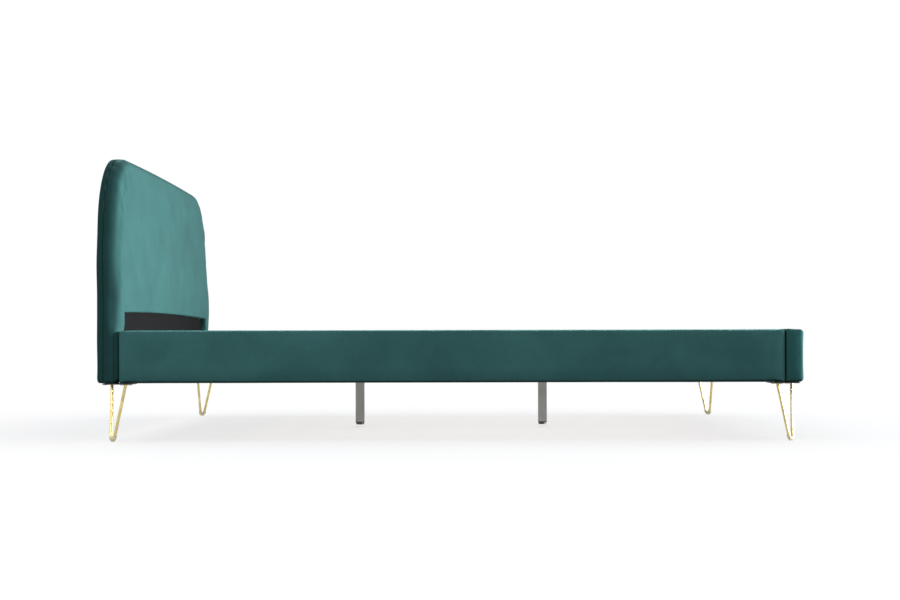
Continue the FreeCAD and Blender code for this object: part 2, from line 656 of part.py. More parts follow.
finish(cut("foot_lining_fitted", foot_lining, [bracket_bolts, centre_bolts]), "foot_rail_lining")


# ---------------------------------------------------------------------------
# Corner brackets: bent steel angles between the rails and the two ends
# ---------------------------------------------------------------------------

def make_corner_bracket(end_name, end, side_name, side):
    """Steel angle: a flange on the end piece and a long leg on the side rail."""
    inner = "(rail_half_width - rail_depth)"
    face = f"({FACE_FRONT})" if end < 0 else f"({FOOT_INNER})"
    name = f"{end_name}_{side_name}"

    def along(depth):
        return f"{face} - {end} * ({depth})"

    def x_span(near, far):
        return (along(near), along(far)) if end < 0 else (along(far), along(near))

    low_x, high_x = x_span(0, "bracket_sheet")
    low_y, high_y = side_span(side, f"{inner} - bracket_flange", inner)
    top = "bracket_bottom + bracket_height"
    flange = make_box(f"bracket_flange_{name}", (low_x, low_y, "bracket_bottom"), (high_x, high_y, top))
    low_x, high_x = x_span(0, "bracket_leg")
    low_y, high_y = side_span(side, f"{inner} - bracket_sheet", inner)
    leg = make_box(f"bracket_leg_{name}", (low_x, low_y, "bracket_bottom"), (high_x, high_y, top))
    angle = join(f"bracket_angle_{name}", [flange, leg])
    finish(cut(f"bracket_{name}", angle, [bracket_bolts]), f"corner_bracket_{name}")


for end_name, end in ENDS.items():
    for side_name, side in SIDES.items():
        make_corner_bracket(end_name, end, side_name, side)


# ---------------------------------------------------------------------------
# Centre beam, its saddle brackets and the two support legs
# ---------------------------------------------------------------------------

BEAM_BOTTOM = "deck_height - beam_height"
beam_low_x = f"{FACE_FRONT} + bracket_sheet + beam_end_gap"
beam_high_x = f"{FOOT_INNER} - bracket_sheet - beam_end_gap"
beam_solid = make_box("beam_solid", (beam_low_x, "-beam_width / 2", BEAM_BOTTOM),
                      (beam_high_x, "beam_width / 2", "deck_height"))
beam_hollow = make_box("beam_hollow",
                       (f"{beam_low_x} - {PAST}", "-beam_width / 2 + beam_wall",
                        f"{BEAM_BOTTOM} + beam_wall"),
                       (f"{beam_high_x} + {PAST}", "beam_width / 2 - beam_wall",
                        "deck_height - beam_wall"))
finish(cut("beam_tube", beam_solid, [beam_hollow, centre_bolts]), "centre_beam")


def make_saddle(end_name, end):
    """Plate on the end piece with a trough that carries the beam's end."""
    face = f"({FACE_FRONT})" if end < 0 else f"({FOOT_INNER})"

    def x_span(near, far):
        low, high = f"{face} - {end} * ({near})", f"{face} - {end} * ({far})"
        return (low, high) if end < 0 else (high, low)

    low_x, high_x = x_span(0, "bracket_sheet")
    plate = make_box(f"saddle_plate_{end_name}",
                     (low_x, "-saddle_plate_width / 2", "saddle_plate_bottom"),
                     (high_x, "saddle_plate_width / 2", "saddle_plate_bottom + saddle_plate_height"))
    low_x, high_x = x_span("bracket_sheet", "bracket_sheet + saddle_reach")
    cradle = make_box(f"saddle_cradle_{end_name}",
                      (low_x, "-beam_width / 2 - bracket_sheet", f"{BEAM_BOTTOM} - bracket_sheet"),
                      (high_x, "beam_width / 2 + bracket_sheet", f"{BEAM_BOTTOM} + saddle_cheek_height"))
    channel = make_box(f"saddle_channel_{end_name}",
                       (low_x, "-beam_width / 2", BEAM_BOTTOM),
                       (high_x, "beam_width / 2", f"{BEAM_BOTTOM} + saddle_cheek_height + {PAST}"))
    trough = cut(f"saddle_trough_{end_name}", cradle, [channel])
    saddle = join(f"saddle_{end_name}", [plate, trough])
    finish(cut(f"saddle_fitted_{end_name}", saddle, [centre_bolts]), f"beam_bracket_{end_name}")


for end_name, end in ENDS.items():
    make_saddle(end_name, end)

PAD_TOP = "glide_travel + pad_height"
PLUG_BOTTOM = "glide_travel + pad_height + thread_gap"
TUBE_BOTTOM = "glide_travel + pad_height + thread_gap + plug_flange"


def make_upright_cylinder(name, diameter, x, low, high):
    cylinder = doc.addObject("Part::Cylinder", name)
    bind(cylinder, "Radius", f"({diameter}) / 2")
    bind(cylinder, "Height", f"({high}) - ({low})")
    bind(cylinder, "Placement.Base.x", x)
    bind(cylinder, "Placement.Base.z", low)
    return cylinder


def make_support_leg(end_name):
    """Square tube under the beam, its end plug and its levelling glide."""
    x = f"support_{end_name}_x"
    half = "support_width / 2"
    inside = "(support_width / 2 - support_wall)"
    tube = make_box(f"support_tube_{end_name}", (f"{x} - {half}", f"-{half}", TUBE_BOTTOM),
                    (f"{x} + {half}", half, f"{BEAM_BOTTOM} - bracket_sheet"))
    hollow = make_box(f"support_hollow_{end_name}",
                      (f"{x} - {inside}", f"-{inside}", f"{TUBE_BOTTOM} - {PAST}"),
                      (f"{x} + {inside}", inside, f"{BEAM_BOTTOM} - bracket_sheet"))
    plate = make_box(f"support_plate_{end_name}",
                     (f"{x} - support_plate / 2", f"-{half}", f"{BEAM_BOTTOM} - bracket_sheet"),
                     (f"{x} + support_plate / 2", half, BEAM_BOTTOM))
    welded = join(f"support_weld_{end_name}", [cut(f"support_shell_{end_name}", tube, [hollow]), plate])
    finish(cut(f"support_leg_body_{end_name}", welded, [centre_bolts]), f"support_leg_{end_name}")

    # Square end plug with a threaded core for the glide's stem.
    flange = make_box(f"plug_flange_{end_name}", (f"{x} - {half}", f"-{half}", PLUG_BOTTOM),
                      (f"{x} + {half}", half, TUBE_BOTTOM))
    core = make_box(f"plug_core_{end_name}", (f"{x} - {inside}", f"-{inside}", TUBE_BOTTOM),
                    (f"{x} + {inside}", inside, f"{TUBE_BOTTOM} + plug_length"))
    thread = make_upright_cylinder(f"plug_thread_{end_name}", "stem_diameter + 2 * thread_gap", x,
                                   0, f"{TUBE_BOTTOM} + plug_length + {PAST}")
    plug = join(f"plug_blank_{end_name}", [flange, core])
    finish(cut(f"plug_{end_name}", plug, [thread]), f"support_leg_plug_{end_name}")

    # Levelling glide: the stem turns in the pad's socket and climbs the plug.
    pad = make_upright_cylinder(f"glide_pad_blank_{end_name}", "pad_diameter", x, "glide_travel", PAD_TOP)
    socket = make_upright_cylinder(f"glide_socket_{end_name}", "stem_diameter + 2 * thread_gap", x,
                                   "glide_travel + pad_floor - thread_gap", f"{PAD_TOP} + {PAST}")
    finish(cut(f"glide_pad_{end_name}", pad, [socket]), f"levelling_pad_{end_name}")
    stem = make_upright_cylinder(f"glide_stem_{end_name}", "stem_diameter", x, "glide_travel + pad_floor",
                                 "glide_travel + pad_floor + stem_length")
    finish(stem, f"levelling_stem_{end_name}")


for end_name in ENDS:
    make_support_leg(end_name)


# ---------------------------------------------------------------------------
# Hairpin legs: one bent rod each, welded under a square plate
# ---------------------------------------------------------------------------

def make_hairpin_rod(name, end_name, end, side):
    """Rod bent to a narrow V with a round toe, cut flat under its plate."""
    corner = FreeCAD.Vector(leg_corner[end_name], side * leg_side, 0)
    plate_bottom = size("bed_underside") - size("plate_sheet")
    radius = size("rod_diameter") / 2
    spread = size("rod_spread")
    toe = size("rod_toe")

    def local(step_x, step_y, height):
        return corner + FreeCAD.Vector(-end * step_x, -side * step_y, height)

    first = local(0, spread, plate_bottom)
    second = local(spread, 0, plate_bottom)
    middle = (first + second) * 0.5
    bottom = local(toe, toe, size("protector_sole") + radius)
    half_width = (first - second).Length / 2
    drop = (bottom - middle).Length
    bend = size("rod_bend")
    reach = math.hypot(half_width, drop - bend)
    half_angle = math.acos(bend / reach) - math.atan2(drop - bend, half_width)
    apex = middle + (bottom - middle).normalize() * (half_width / math.tan(half_angle))
    tangent = bend / math.tan(half_angle)
    spare = 2 * size("rod_diameter")

    def on_leg(top, distance):
        return apex + (top - apex).normalize() * distance

    start = on_leg(first, (first - apex).Length + spare)
    finish_point = on_leg(second, (second - apex).Length + spare)
    bend_start = on_leg(first, tangent)
    bend_end = on_leg(second, tangent)
    path = Part.Wire([
        Part.LineSegment(start, bend_start).toShape(),
        Part.Arc(bend_start, bottom, bend_end).toShape(),
        Part.LineSegment(bend_end, finish_point).toShape(),
    ])
    section = Part.Wire(Part.Circle(start, bend_start - start, radius).toShape())
    rod = path.makePipeShell([section], True, False)
    around = 3 * spread
    trim = Part.makeBox(2 * around, 2 * around, around,
                        FreeCAD.Vector(middle.x - around, middle.y - around, plate_bottom))
    rod = rod.cut(trim)
    leg = doc.addObject("Part::Feature", name)
    leg.Shape = rod.Solids[0]
    leg.Placement = FreeCAD.Placement()
    return leg


def make_leg_plate(name, end, side):
    """Square plate with rounded corners under the corner of the bed."""
    body = doc.addObject("PartDesign::Body", name)
    block = body.newObject("PartDesign::AdditiveBox", name + "_sheet")
    corner_x = "-half_length + leg_head_inset" if end < 0 else "half_length - leg_foot_inset"
    low_x = f"{corner_x} - plate_margin" if end < 0 else f"{corner_x} + plate_margin - plate_size"
    far = "(rail_half_width - leg_side_inset + plate_margin)"
    low_y = f"{far} - plate_size" if side > 0 else f"-{far}"
    bind(block, "Length", "plate_size")
    bind(block, "Width", "plate_size")
    bind(block, "Height", "plate_sheet")
    bind(block, "Placement.Base.x", low_x)
    bind(block, "Placement.Base.y", low_y)
    bind(block, "Placement.Base.z", "bed_underside - plate_sheet")
    doc.recompute()
    upright = [f"Edge{number}" for number, edge in enumerate(block.Shape.Edges, start=1)
               if edge.BoundBox.ZLength > 1]
    fillet = body.newObject("PartDesign::Fillet", name + "_corners")
    fillet.Base = (block, upright)
    bind(fillet, "Radius", "plate_corner")
    return body


def make_protector(name, end_name, end, side, rod):
    """Clear plastic shoe clipped over the toe of the rod, set on the diagonal."""
    body = doc.addObject("PartDesign::Body", name + "_block")
    block = body.newObject("PartDesign::AdditiveBox", name + "_blank")
    bind(block, "Length", "protector_length")
    bind(block, "Width", "protector_width")
    bind(block, "Height", "protector_height")
    doc.recompute()
    upright = [f"Edge{number}" for number, edge in enumerate(block.Shape.Edges, start=1)
               if edge.BoundBox.ZLength > 1]
    fillet = body.newObject("PartDesign::Fillet", name + "_corners")
    fillet.Base = (block, upright)
    bind(fillet, "Radius", "protector_round")
    toe = size("rod_toe")
    centre = FreeCAD.Vector(leg_corner[end_name] - end * toe, side * (leg_side - toe), 0)
    turn = FreeCAD.Rotation(FreeCAD.Vector(0, 0, 1), -45 * end * side)
    half = FreeCAD.Vector(size("protector_length") / 2, size("protector_width") / 2, 0)
    body.Placement = FreeCAD.Placement(centre - turn.multVec(half), turn)
    return cut(name, body, [rod])


for end_name, end in ENDS.items():
    for side_name, side in SIDES.items():
        place = f"{end_name}_{side_name}"
        rod = finish(make_hairpin_rod(f"rod_{place}", end_name, end, side), f"hairpin_leg_{place}")
        plate = make_leg_plate(f"plate_{place}", end, side)
        finish(cut(f"plate_drilled_{place}", plate, [leg_screws]), f"leg_plate_{place}")
        finish(make_protector(f"protector_{place}", end_name, end, side, rod), f"floor_protector_{place}")


# ---------------------------------------------------------------------------
# Slatted base: two rows of sprung slats in plastic caps
# ---------------------------------------------------------------------------

def make_slat_master():
    """One crowned slat of the left row, centred on X = 0."""
    body = doc.addObject("PartDesign::Body", "slat_master")
    sketch = body.newObject("Sketcher::SketchObject", "slat_outline")
    sketch.AttachmentSupport = (origin_plane(body, "YZ_Plane"), "")
    sketch.MapMode = "FlatFace"
    bind(sketch, "AttachmentOffset.Base.z", "-slat_width / 2")
    low = size("slat_start")
    high = size("slat_end")
    base = size("deck_height") + size("cap_sole")
    thickness = size("slat_thickness")
    half = (high - low) / 2
    rise = size("slat_rise")
    radius = (half ** 2 + rise ** 2) / (2 * rise)
    middle = (low + high) / 2
    angle = math.asin(half / radius)
    upright = math.pi / 2
    centre = FreeCAD.Vector(middle, base + rise - radius, 0)
    raised = FreeCAD.Vector(middle, base + thickness + rise - radius, 0)
    axis = FreeCAD.Vector(0, 0, 1)
    sketch.addGeometry([
        Part.ArcOfCircle(Part.Circle(centre, axis, radius), upright - angle, upright + angle),
        Part.ArcOfCircle(Part.Circle(raised, axis, radius), upright - angle, upright + angle),
        Part.LineSegment(FreeCAD.Vector(low, base, 0), FreeCAD.Vector(low, base + thickness, 0)),
        Part.LineSegment(FreeCAD.Vector(high, base, 0), FreeCAD.Vector(high, base + thickness, 0)),
    ], False)
    lower, upper, near_end, far_end = range(4)
    start, end, origin = 1, 2, -1
    sketch.addConstraint([
        Sketcher.Constraint("Coincident", lower, end, near_end, start),
        Sketcher.Constraint("Coincident", upper, end, near_end, end),
        Sketcher.Constraint("Coincident", lower, start, far_end, start),
        Sketcher.Constraint("Coincident", upper, start, far_end, end),
        Sketcher.Constraint("Vertical", near_end),
        Sketcher.Constraint("Vertical", far_end),
        Sketcher.Constraint("Equal", lower, upper),
        Sketcher.Constraint("Equal", near_end, far_end),
        Sketcher.Constraint("Horizontal", lower, start, lower, end),
    ])
    rules = (
        ("DistanceX", "slat_start", (origin, 1, near_end, start, low)),
        ("DistanceX", "slat_end", (origin, 1, far_end, start, high)),
        ("DistanceY", "deck_height + cap_sole", (origin, 1, near_end, start, base)),
        ("DistanceY", "slat_thickness", (near_end, start, near_end, end, thickness)),
        ("Radius", "(((slat_end - slat_start) / 2)^2 + slat_rise^2) / (2 * slat_rise)", (lower, radius)),
    )
    for kind, formula, arguments in rules:
        number = sketch.addConstraint(Sketcher.Constraint(kind, *arguments))
        bind(sketch, f"Constraints[{number}]", formula)
    pad = body.newObject("PartDesign::Pad", "slat_pad")
    pad.Profile = sketch
    bind(pad, "Length", "slat_width")
    doc.recompute()
    return body


def make_cap_master(name, start, end, slats):
    """Plastic slat holder: a low sleeve from one Y to another, hollow where slats enter."""
    block = make_box(f"{name}_block", ("-cap_half_width", start, "deck_height"),
                     ("cap_half_width", end, "deck_height + cap_height"))
    cap = cut(f"{name}_shell", block, slats)
    doc.recompute()
    return cap


slat_master = make_slat_master()
first_slat = -(size("slat_count") - 1) * size("slat_pitch") / 2
row_middle = (size("board_depth") - size("half_length") + foot_inner_face) / 2
slat_positions = [row_middle + first_slat + number * size("slat_pitch")
                  for number in range(int(size("slat_count")))]
half_turn_about_z = FreeCAD.Rotation(FreeCAD.Vector(0, 0, 1), 180)
rows = {
    "left": [FreeCAD.Placement(FreeCAD.Vector(x, 0, 0), FreeCAD.Rotation()) for x in slat_positions],
    "right": [FreeCAD.Placement(FreeCAD.Vector(x, 0, 0), half_turn_about_z) for x in slat_positions],
}
for side_name in SIDES:
    finish(make_group(f"slat_row_{side_name}", slat_master, rows[side_name]), f"slats_{side_name}")

opposite_slat = make_group("slat_opposite", slat_master,
                           [FreeCAD.Placement(FreeCAD.Vector(), half_turn_about_z)])
side_cap = make_cap_master("side_cap", "slat_end - cap_length + cap_wall", "slat_end + cap_wall",
                           [slat_master])
centre_cap = make_cap_master("centre_cap", "-centre_cap_length / 2", "centre_cap_length / 2",
                             [slat_master, opposite_slat])
finish(make_group("side_cap_group", side_cap, rows["left"] + rows["right"]), "slat_side_caps")
finish(make_group("centre_cap_group", centre_cap, rows["left"]), "slat_centre_caps")


# ---------------------------------------------------------------------------
# Check and export
# ---------------------------------------------------------------------------

doc.recompute()
failed = [obj.Name for obj in doc.Objects if {"Invalid", "Error"} & set(obj.State)]
if failed:
    raise RuntimeError(f"objects failed to build: {failed}")
labels = [part.Label for part in PARTS]
if len(set(labels)) != len(labels):
    raise RuntimeError("two sub-parts share a label")
for part in PARTS:
    if part.Shape.isNull() or not part.Shape.isValid() or not part.Shape.Solids:
        raise RuntimeError(f"{part.Label} has no valid shape")

os.makedirs("parts", exist_ok=True)
for part in PARTS:
    part.Shape.exportStep(f"parts/{part.Label}.step")
print(len(PARTS), "sub-parts")
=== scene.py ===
import json
import math

import bmesh
import bpy
import numpy as np
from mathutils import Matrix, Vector, noise
from mathutils.geometry import delaunay_2d_cdt

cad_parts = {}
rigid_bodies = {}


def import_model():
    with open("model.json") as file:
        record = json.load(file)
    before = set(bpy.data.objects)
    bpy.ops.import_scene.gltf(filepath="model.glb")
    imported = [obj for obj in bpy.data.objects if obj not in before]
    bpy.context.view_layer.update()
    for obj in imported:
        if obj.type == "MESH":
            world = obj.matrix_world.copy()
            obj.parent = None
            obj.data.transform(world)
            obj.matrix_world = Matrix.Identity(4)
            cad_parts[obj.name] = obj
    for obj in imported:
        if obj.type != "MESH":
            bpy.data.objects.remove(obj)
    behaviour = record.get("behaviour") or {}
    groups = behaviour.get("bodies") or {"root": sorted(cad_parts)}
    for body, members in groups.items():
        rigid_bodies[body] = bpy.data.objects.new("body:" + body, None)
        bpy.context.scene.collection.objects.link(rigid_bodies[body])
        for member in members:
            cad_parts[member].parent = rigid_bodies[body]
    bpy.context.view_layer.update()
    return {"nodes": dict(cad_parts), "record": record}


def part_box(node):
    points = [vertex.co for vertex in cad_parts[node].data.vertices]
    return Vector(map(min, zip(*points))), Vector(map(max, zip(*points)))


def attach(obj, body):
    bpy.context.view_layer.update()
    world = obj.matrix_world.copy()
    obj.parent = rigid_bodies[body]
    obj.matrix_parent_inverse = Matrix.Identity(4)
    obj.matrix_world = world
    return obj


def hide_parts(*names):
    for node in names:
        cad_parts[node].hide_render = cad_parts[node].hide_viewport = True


# Looks of the upholstered headboard bed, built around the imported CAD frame.
# Metres. +X runs from the head to the foot, +Y is the sleeper's left, +Z up.

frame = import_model()
BODY = "bed_frame"
MM = 0.001
SIDES = {"right": -1, "left": 1}
ENDS = ("head", "foot")


# --------------------------------------------------
# Materials: one small builder, then one function per finish
# --------------------------------------------------

class Surface:
    """A Principled material with a few helpers for procedural detail."""

    def __init__(self, name, color, roughness, **sockets):
        self.material = bpy.data.materials.new(name)
        self.material.use_nodes = True
        self.tree = self.material.node_tree
        self.shader = self.tree.nodes["Principled BSDF"]
        self.coords = self.add("ShaderNodeTexCoord").outputs["Object"]
        self.put("Base Color", color)
        self.put("Roughness", roughness)
        for socket, value in sockets.items():
            self.put(socket.replace("_", " "), value)

    def add(self, kind, **settings):
        item = self.tree.nodes.new(kind)
        for key, value in settings.items():
            setattr(item, key, value)
        return item

    def put(self, socket, value):
        """A plain number or colour on the shader's own socket, or a link."""
        target = self.shader.inputs[socket]
        if isinstance(value, bpy.types.NodeSocket):
            self.tree.links.new(value, target)
        elif isinstance(value, tuple) and len(value) == 3 and target.type == "RGBA":
            target.default_value = (*value, 1)
        else:
            target.default_value = value

    def noise(self, scale, detail=3, distortion=0.0, stretch=(1, 1, 1)):
        """Noise whose scale counts features per metre; stretch squeezes it along an axis."""
        mapping = self.add("ShaderNodeMapping")
        mapping.inputs["Scale"].default_value = stretch
        self.tree.links.new(self.coords, mapping.inputs["Vector"])
        texture = self.add("ShaderNodeTexNoise")
        texture.inputs["Scale"].default_value = scale
        texture.inputs["Detail"].default_value = detail
        texture.inputs["Distortion"].default_value = distortion
        self.tree.links.new(mapping.outputs["Vector"], texture.inputs["Vector"])
        return texture.outputs["Fac"]

    def bands(self, scale, direction):
        """Straight bands that follow one another along an axis."""
        texture = self.add("ShaderNodeTexWave", bands_direction=direction)
        texture.inputs["Scale"].default_value = scale
        self.tree.links.new(self.coords, texture.inputs["Vector"])
        return texture.outputs["Fac"]

    def split(self, kind, output):
        """The X, Y and Z outputs of a node's coordinate or normal."""
        source = self.add(kind)
        item = self.add("ShaderNodeSeparateXYZ")
        self.tree.links.new(source.outputs[output], item.inputs["Vector"])
        return item.outputs

    def compute(self, operation, *values):
        item = self.add("ShaderNodeMath", operation=operation)
        for value, socket in zip(values, item.inputs):
            self.tree.links.new(value, socket)
        return item.outputs["Value"]

    def ramp(self, factor, *stops):
        """Colour ramp through (position, colour) stops."""
        item = self.add("ShaderNodeValToRGB")
        ramp = item.color_ramp
        while len(ramp.elements) < len(stops):
            ramp.elements.new(0.5)
        for element, (position, color) in zip(ramp.elements, stops):
            element.position = position
            element.color = (*color, 1)
        self.tree.links.new(factor, item.inputs["Fac"])
        return item.outputs["Color"]

    def mix(self, blend, amount, first, second):
        """Two colours blended into one."""
        item = self.add("ShaderNodeMix", data_type="RGBA", blend_type=blend)
        item.inputs["Factor"].default_value = amount
        self.tree.links.new(first, item.inputs["A"])
        self.tree.links.new(second, item.inputs["B"])
        return item.outputs["Result"]

    def spread(self, factor, low, high):
        """Maps a 0..1 factor to a range."""
        item = self.add("ShaderNodeMapRange")
        item.inputs["To Min"].default_value = low
        item.inputs["To Max"].default_value = high
        self.tree.links.new(factor, item.inputs["Value"])
        return item.outputs["Result"]

    def spread_from(self, value, low, high):
        """Maps a value from its own range to 0..1."""
        item = self.add("ShaderNodeMapRange")
        item.inputs["From Min"].default_value = low
        item.inputs["From Max"].default_value = high
        self.tree.links.new(value, item.inputs["Value"])
        return item.outputs["Result"]

    def bump(self, *layers):
        """Bump layers, each (height, distance in metres), one over the other."""
        normal = None
        for height, distance in layers:
            item = self.add("ShaderNodeBump")
            item.inputs["Distance"].default_value = distance
            self.tree.links.new(height, item.inputs["Height"])
            if normal:
                self.tree.links.new(normal, item.inputs["Normal"])
            normal = item.outputs["Normal"]
        self.put("Normal", normal)


def grey(level):
    """A grey colour."""
    return (level, level, level)


# The dye where the pile lies flat and where it stands up, and the tint of the painted shade on faces
# turned away from the key lamp.
VELVET_DYE = ((0.0177, 0.0606, 0.0606), (0.0234, 0.0775, 0.0765))
SIDE_SHADE_TINT = (0.78, 1.06, 1.07)


def mark_recess_highlight(surface):
    """White where the headboard's front cover turns into its recess, black elsewhere: a mask that
    keeps the painted shade off the recess's rim, as a painted highlight.
    """
    place = surface.split("ShaderNodeTexCoord", "Generated")
    across = surface.ramp(place["Y"], (0.035, grey(0)), (0.05, grey(1)),
                          (0.95, grey(1)), (0.965, grey(0)))
    up = surface.ramp(place["Z"], (0.33, grey(1)), (0.36, grey(0)))
    return surface.mix("MULTIPLY", 1, across, up)


def make_velvet(name, side_shade_strength=0.0, shade=0.0, side_shade_from=0.6, painted_tone=1.0, recess=False):
    """Short-pile velvet: brushed patches, fine pile and a sheen at grazing angles.

    The side shade darkens, as painted shade, the faces that don't look along +X towards the key
    lamp:
    fully where the normal's X is below the point where it starts. shade darkens the lowest part of
    the piece as painted shade, and the tone scales the dye as painted light, to make one copy
    brighter. The underside is darkened on every piece as painted shade. With recess, the painted
    shade is kept off where the cover turns into the headboard's recess, so that its rolled rim is a
    painted highlight.
    """
    surface = Surface(name, (0.02, 0.06, 0.06), 0.85, Sheen_Weight=0.14, Sheen_Roughness=0.35,
                      Sheen_Tint=(0.3, 0.8, 0.78, 1), Specular_IOR_Level=0.06)
    brushed = surface.noise(7, 4, 0.6)
    # Painted light: the tone scales the whole dye, to make one copy of the velvet brighter than the
    # rest.
    dark, light = ([channel * painted_tone for channel in dye] for dye in VELVET_DYE)
    color = surface.ramp(brushed, (0.3, dark), (0.7, light))
    pile = surface.ramp(surface.noise(520, 2), (0.25, grey(0.72)), (0.75, grey(1)))
    color = surface.mix("MULTIPLY", 1, color, pile)
    facing = surface.split("ShaderNodeNewGeometry", "Normal")
    # Painted shade: faces that look down are darkened.
    height = surface.spread_from(facing["Z"], -1, 1)
    underside_shade = surface.ramp(height, (0.12, grey(0.12)), (0.36, grey(1)))
    # Painted highlight: the painted shade is kept off the rolled rim of the headboard's recess.
    if recess:
        recess_highlight = mark_recess_highlight(surface)
        underside_shade = surface.mix("LIGHTEN", 1, underside_shade, recess_highlight)
    color = surface.mix("MULTIPLY", 1, color, underside_shade)
    if shade:
        place = surface.split("ShaderNodeTexCoord", "Generated")
        fade = surface.ramp(place["Z"], (0.0, grey(1 - shade)), (0.3, grey(0.96)), (1.0, grey(1)))
        color = surface.mix("MULTIPLY", 1, color, fade)
    # Painted shade: faces turned away from the key lamp at +X are darkened.
    if side_shade_strength:
        side_shade_color = tuple((1 - side_shade_strength) * share for share in SIDE_SHADE_TINT)
        side_shade_ramp = surface.ramp(facing["X"], (side_shade_from, side_shade_color), (0.99, grey(1)))
        # The recess's rim is kept light here too, as a painted highlight.
        if recess:
            side_shade_ramp = surface.mix("LIGHTEN", 1, side_shade_ramp, recess_highlight)
        color = surface.mix("MULTIPLY", 1, color, side_shade_ramp)
    surface.put("Base Color", color)
    surface.put("Roughness", surface.spread(brushed, 0.78, 0.92))
    surface.bump((surface.noise(35, 3), 0.0006), (surface.noise(700, 2), 0.00025))
    return surface.material


def make_dust_cloth():
    """Spun-bonded black non-woven with its small pressed dots and loose fibres."""
    surface = Surface("dust_cloth", (0.008, 0.0086, 0.0092), 0.9, Specular_IOR_Level=0.0)
    fibres = surface.noise(900, 4, 1.5)
    surface.put("Base Color", surface.ramp(fibres, (0.3, (0.0045, 0.0049, 0.0052)),
                                           (0.75, (0.012, 0.0128, 0.0136))))
    dots = surface.add("ShaderNodeTexVoronoi", feature="DISTANCE_TO_EDGE")
    dots.inputs["Scale"].default_value = 420
    dots.inputs["Randomness"].default_value = 0.15
    surface.tree.links.new(surface.coords, dots.inputs["Vector"])
    surface.bump((surface.noise(60, 3), 0.0008), (dots.outputs["Distance"], 0.0003),
                 (fibres, 0.0002))
    return surface.material


def make_timber(name, light, dark, stretch, lacquer=0.0, ply=False):
    """Wood with long grain along one axis, pores and a little dirt."""
    surface = Surface(name, light, 0.5, Coat_Weight=lacquer, Coat_Roughness=0.25)
    grain = surface.noise(9, 6, 1.8, stretch)
    color = surface.ramp(grain, (0.28, dark), (0.5, light), (0.78, tuple(c * 0.86 for c in light)))
    pores = surface.ramp(surface.noise(90, 3, 0.4, stretch), (0.3, grey(0.7)), (0.48, grey(1)))
    color = surface.mix("MULTIPLY", 0.65, color, pores)
    if ply:
        layers = surface.ramp(surface.bands(95, "Z"), (0.4, grey(0.72)), (0.6, grey(1)))
        color = surface.mix("MULTIPLY", 0.35, color, layers)
    surface.put("Base Color", color)
    surface.put("Roughness", surface.spread(grain, 0.42, 0.62))
    surface.bump((surface.noise(90, 3, 0.4, stretch), 0.0002), (surface.noise(500, 2), 0.00006))
    return surface.material


def make_brass():
    """Pale gold plating with drawn streaks and faint handling marks."""
    surface = Surface("brass_rod", (0.4, 0.34, 0.16), 0.28, Metallic=1.0)
    smudges = surface.noise(30, 4, 0.8)
    surface.put("Base Color", surface.ramp(smudges, (0.25, (0.44, 0.35, 0.13)),
                                           (0.7, (0.7, 0.59, 0.27))))
    surface.put("Roughness", surface.spread(smudges, 0.2, 0.36))
    surface.bump((surface.noise(240, 3, 0, (1, 1, 0.05)), 0.00008))
    return surface.material


def make_powder_coat(name, color, roughness, corner_shade=0.0):
    """Powder-coated steel: orange-peel skin, slight rubbing, and painted shade on its rounded
    corners.
    """
    surface = Surface(name, color, roughness, Specular_IOR_Level=0.4)
    rubbed = surface.noise(14, 5, 0.5)
    darker = tuple(channel * 0.82 for channel in color)
    coat = surface.ramp(rubbed, (0.3, darker), (0.62, color))
    if corner_shade:
        facing = surface.split("ShaderNodeNewGeometry", "Normal")
        slant = surface.compute("ABSOLUTE", surface.compute("MULTIPLY", facing["X"], facing["Y"]))
        shade = surface.ramp(slant, (0.08, grey(1)), (0.4, grey(1 - corner_shade)))
        coat = surface.mix("MULTIPLY", 1, coat, shade)
    surface.put("Base Color", coat)
    surface.put("Roughness", surface.spread(rubbed, roughness - 0.08, roughness + 0.1))
    surface.bump((surface.noise(420, 2), 0.00012))
    return surface.material


def make_zinc():
    """Zinc-plated steel with its faint spangle."""
    surface = Surface("zinc_steel", (0.6, 0.6, 0.58), 0.35, Metallic=1.0)
    spangle = surface.noise(160, 4, 0.7)
    surface.put("Base Color", surface.ramp(spangle, (0.3, (0.46, 0.46, 0.45)),
                                           (0.7, (0.7, 0.7, 0.67))))
    surface.put("Roughness", surface.spread(spangle, 0.28, 0.5))
    return surface.material


def make_black_plastic():
    """Moulded black plastic with a fine grain."""
    surface = Surface("black_plastic", (0.02, 0.02, 0.021), 0.5)
    texture = surface.noise(800, 2)
    mottle = surface.noise(40, 3)
    surface.put("Base Color", surface.ramp(mottle, (0.3, grey(0.016)), (0.7, grey(0.026))))
    surface.put("Roughness", surface.spread(texture, 0.42, 0.6))
    surface.bump((texture, 0.00008))
    return surface.material


def make_clear_plastic():
    """Milky clear PVC of the floor shoes."""
    surface = Surface("clear_plastic", (0.86, 0.87, 0.85), 0.2, Transmission_Weight=0.85, IOR=1.35)
    haze = surface.noise(120, 3)
    surface.put("Roughness", surface.spread(haze, 0.18, 0.38))
    surface.bump((surface.noise(300, 2), 0.00006))
    return surface.material


def make_foam():
    """Cream foam with open cells."""
    surface = Surface("padding", (0.74, 0.7, 0.55), 0.95)
    cells = surface.noise(900, 3)
    surface.put("Base Color", surface.ramp(cells, (0.3, (0.56, 0.52, 0.4)),
                                           (0.7, (0.8, 0.76, 0.62))))
    surface.bump((cells, 0.0004))
    return surface.material


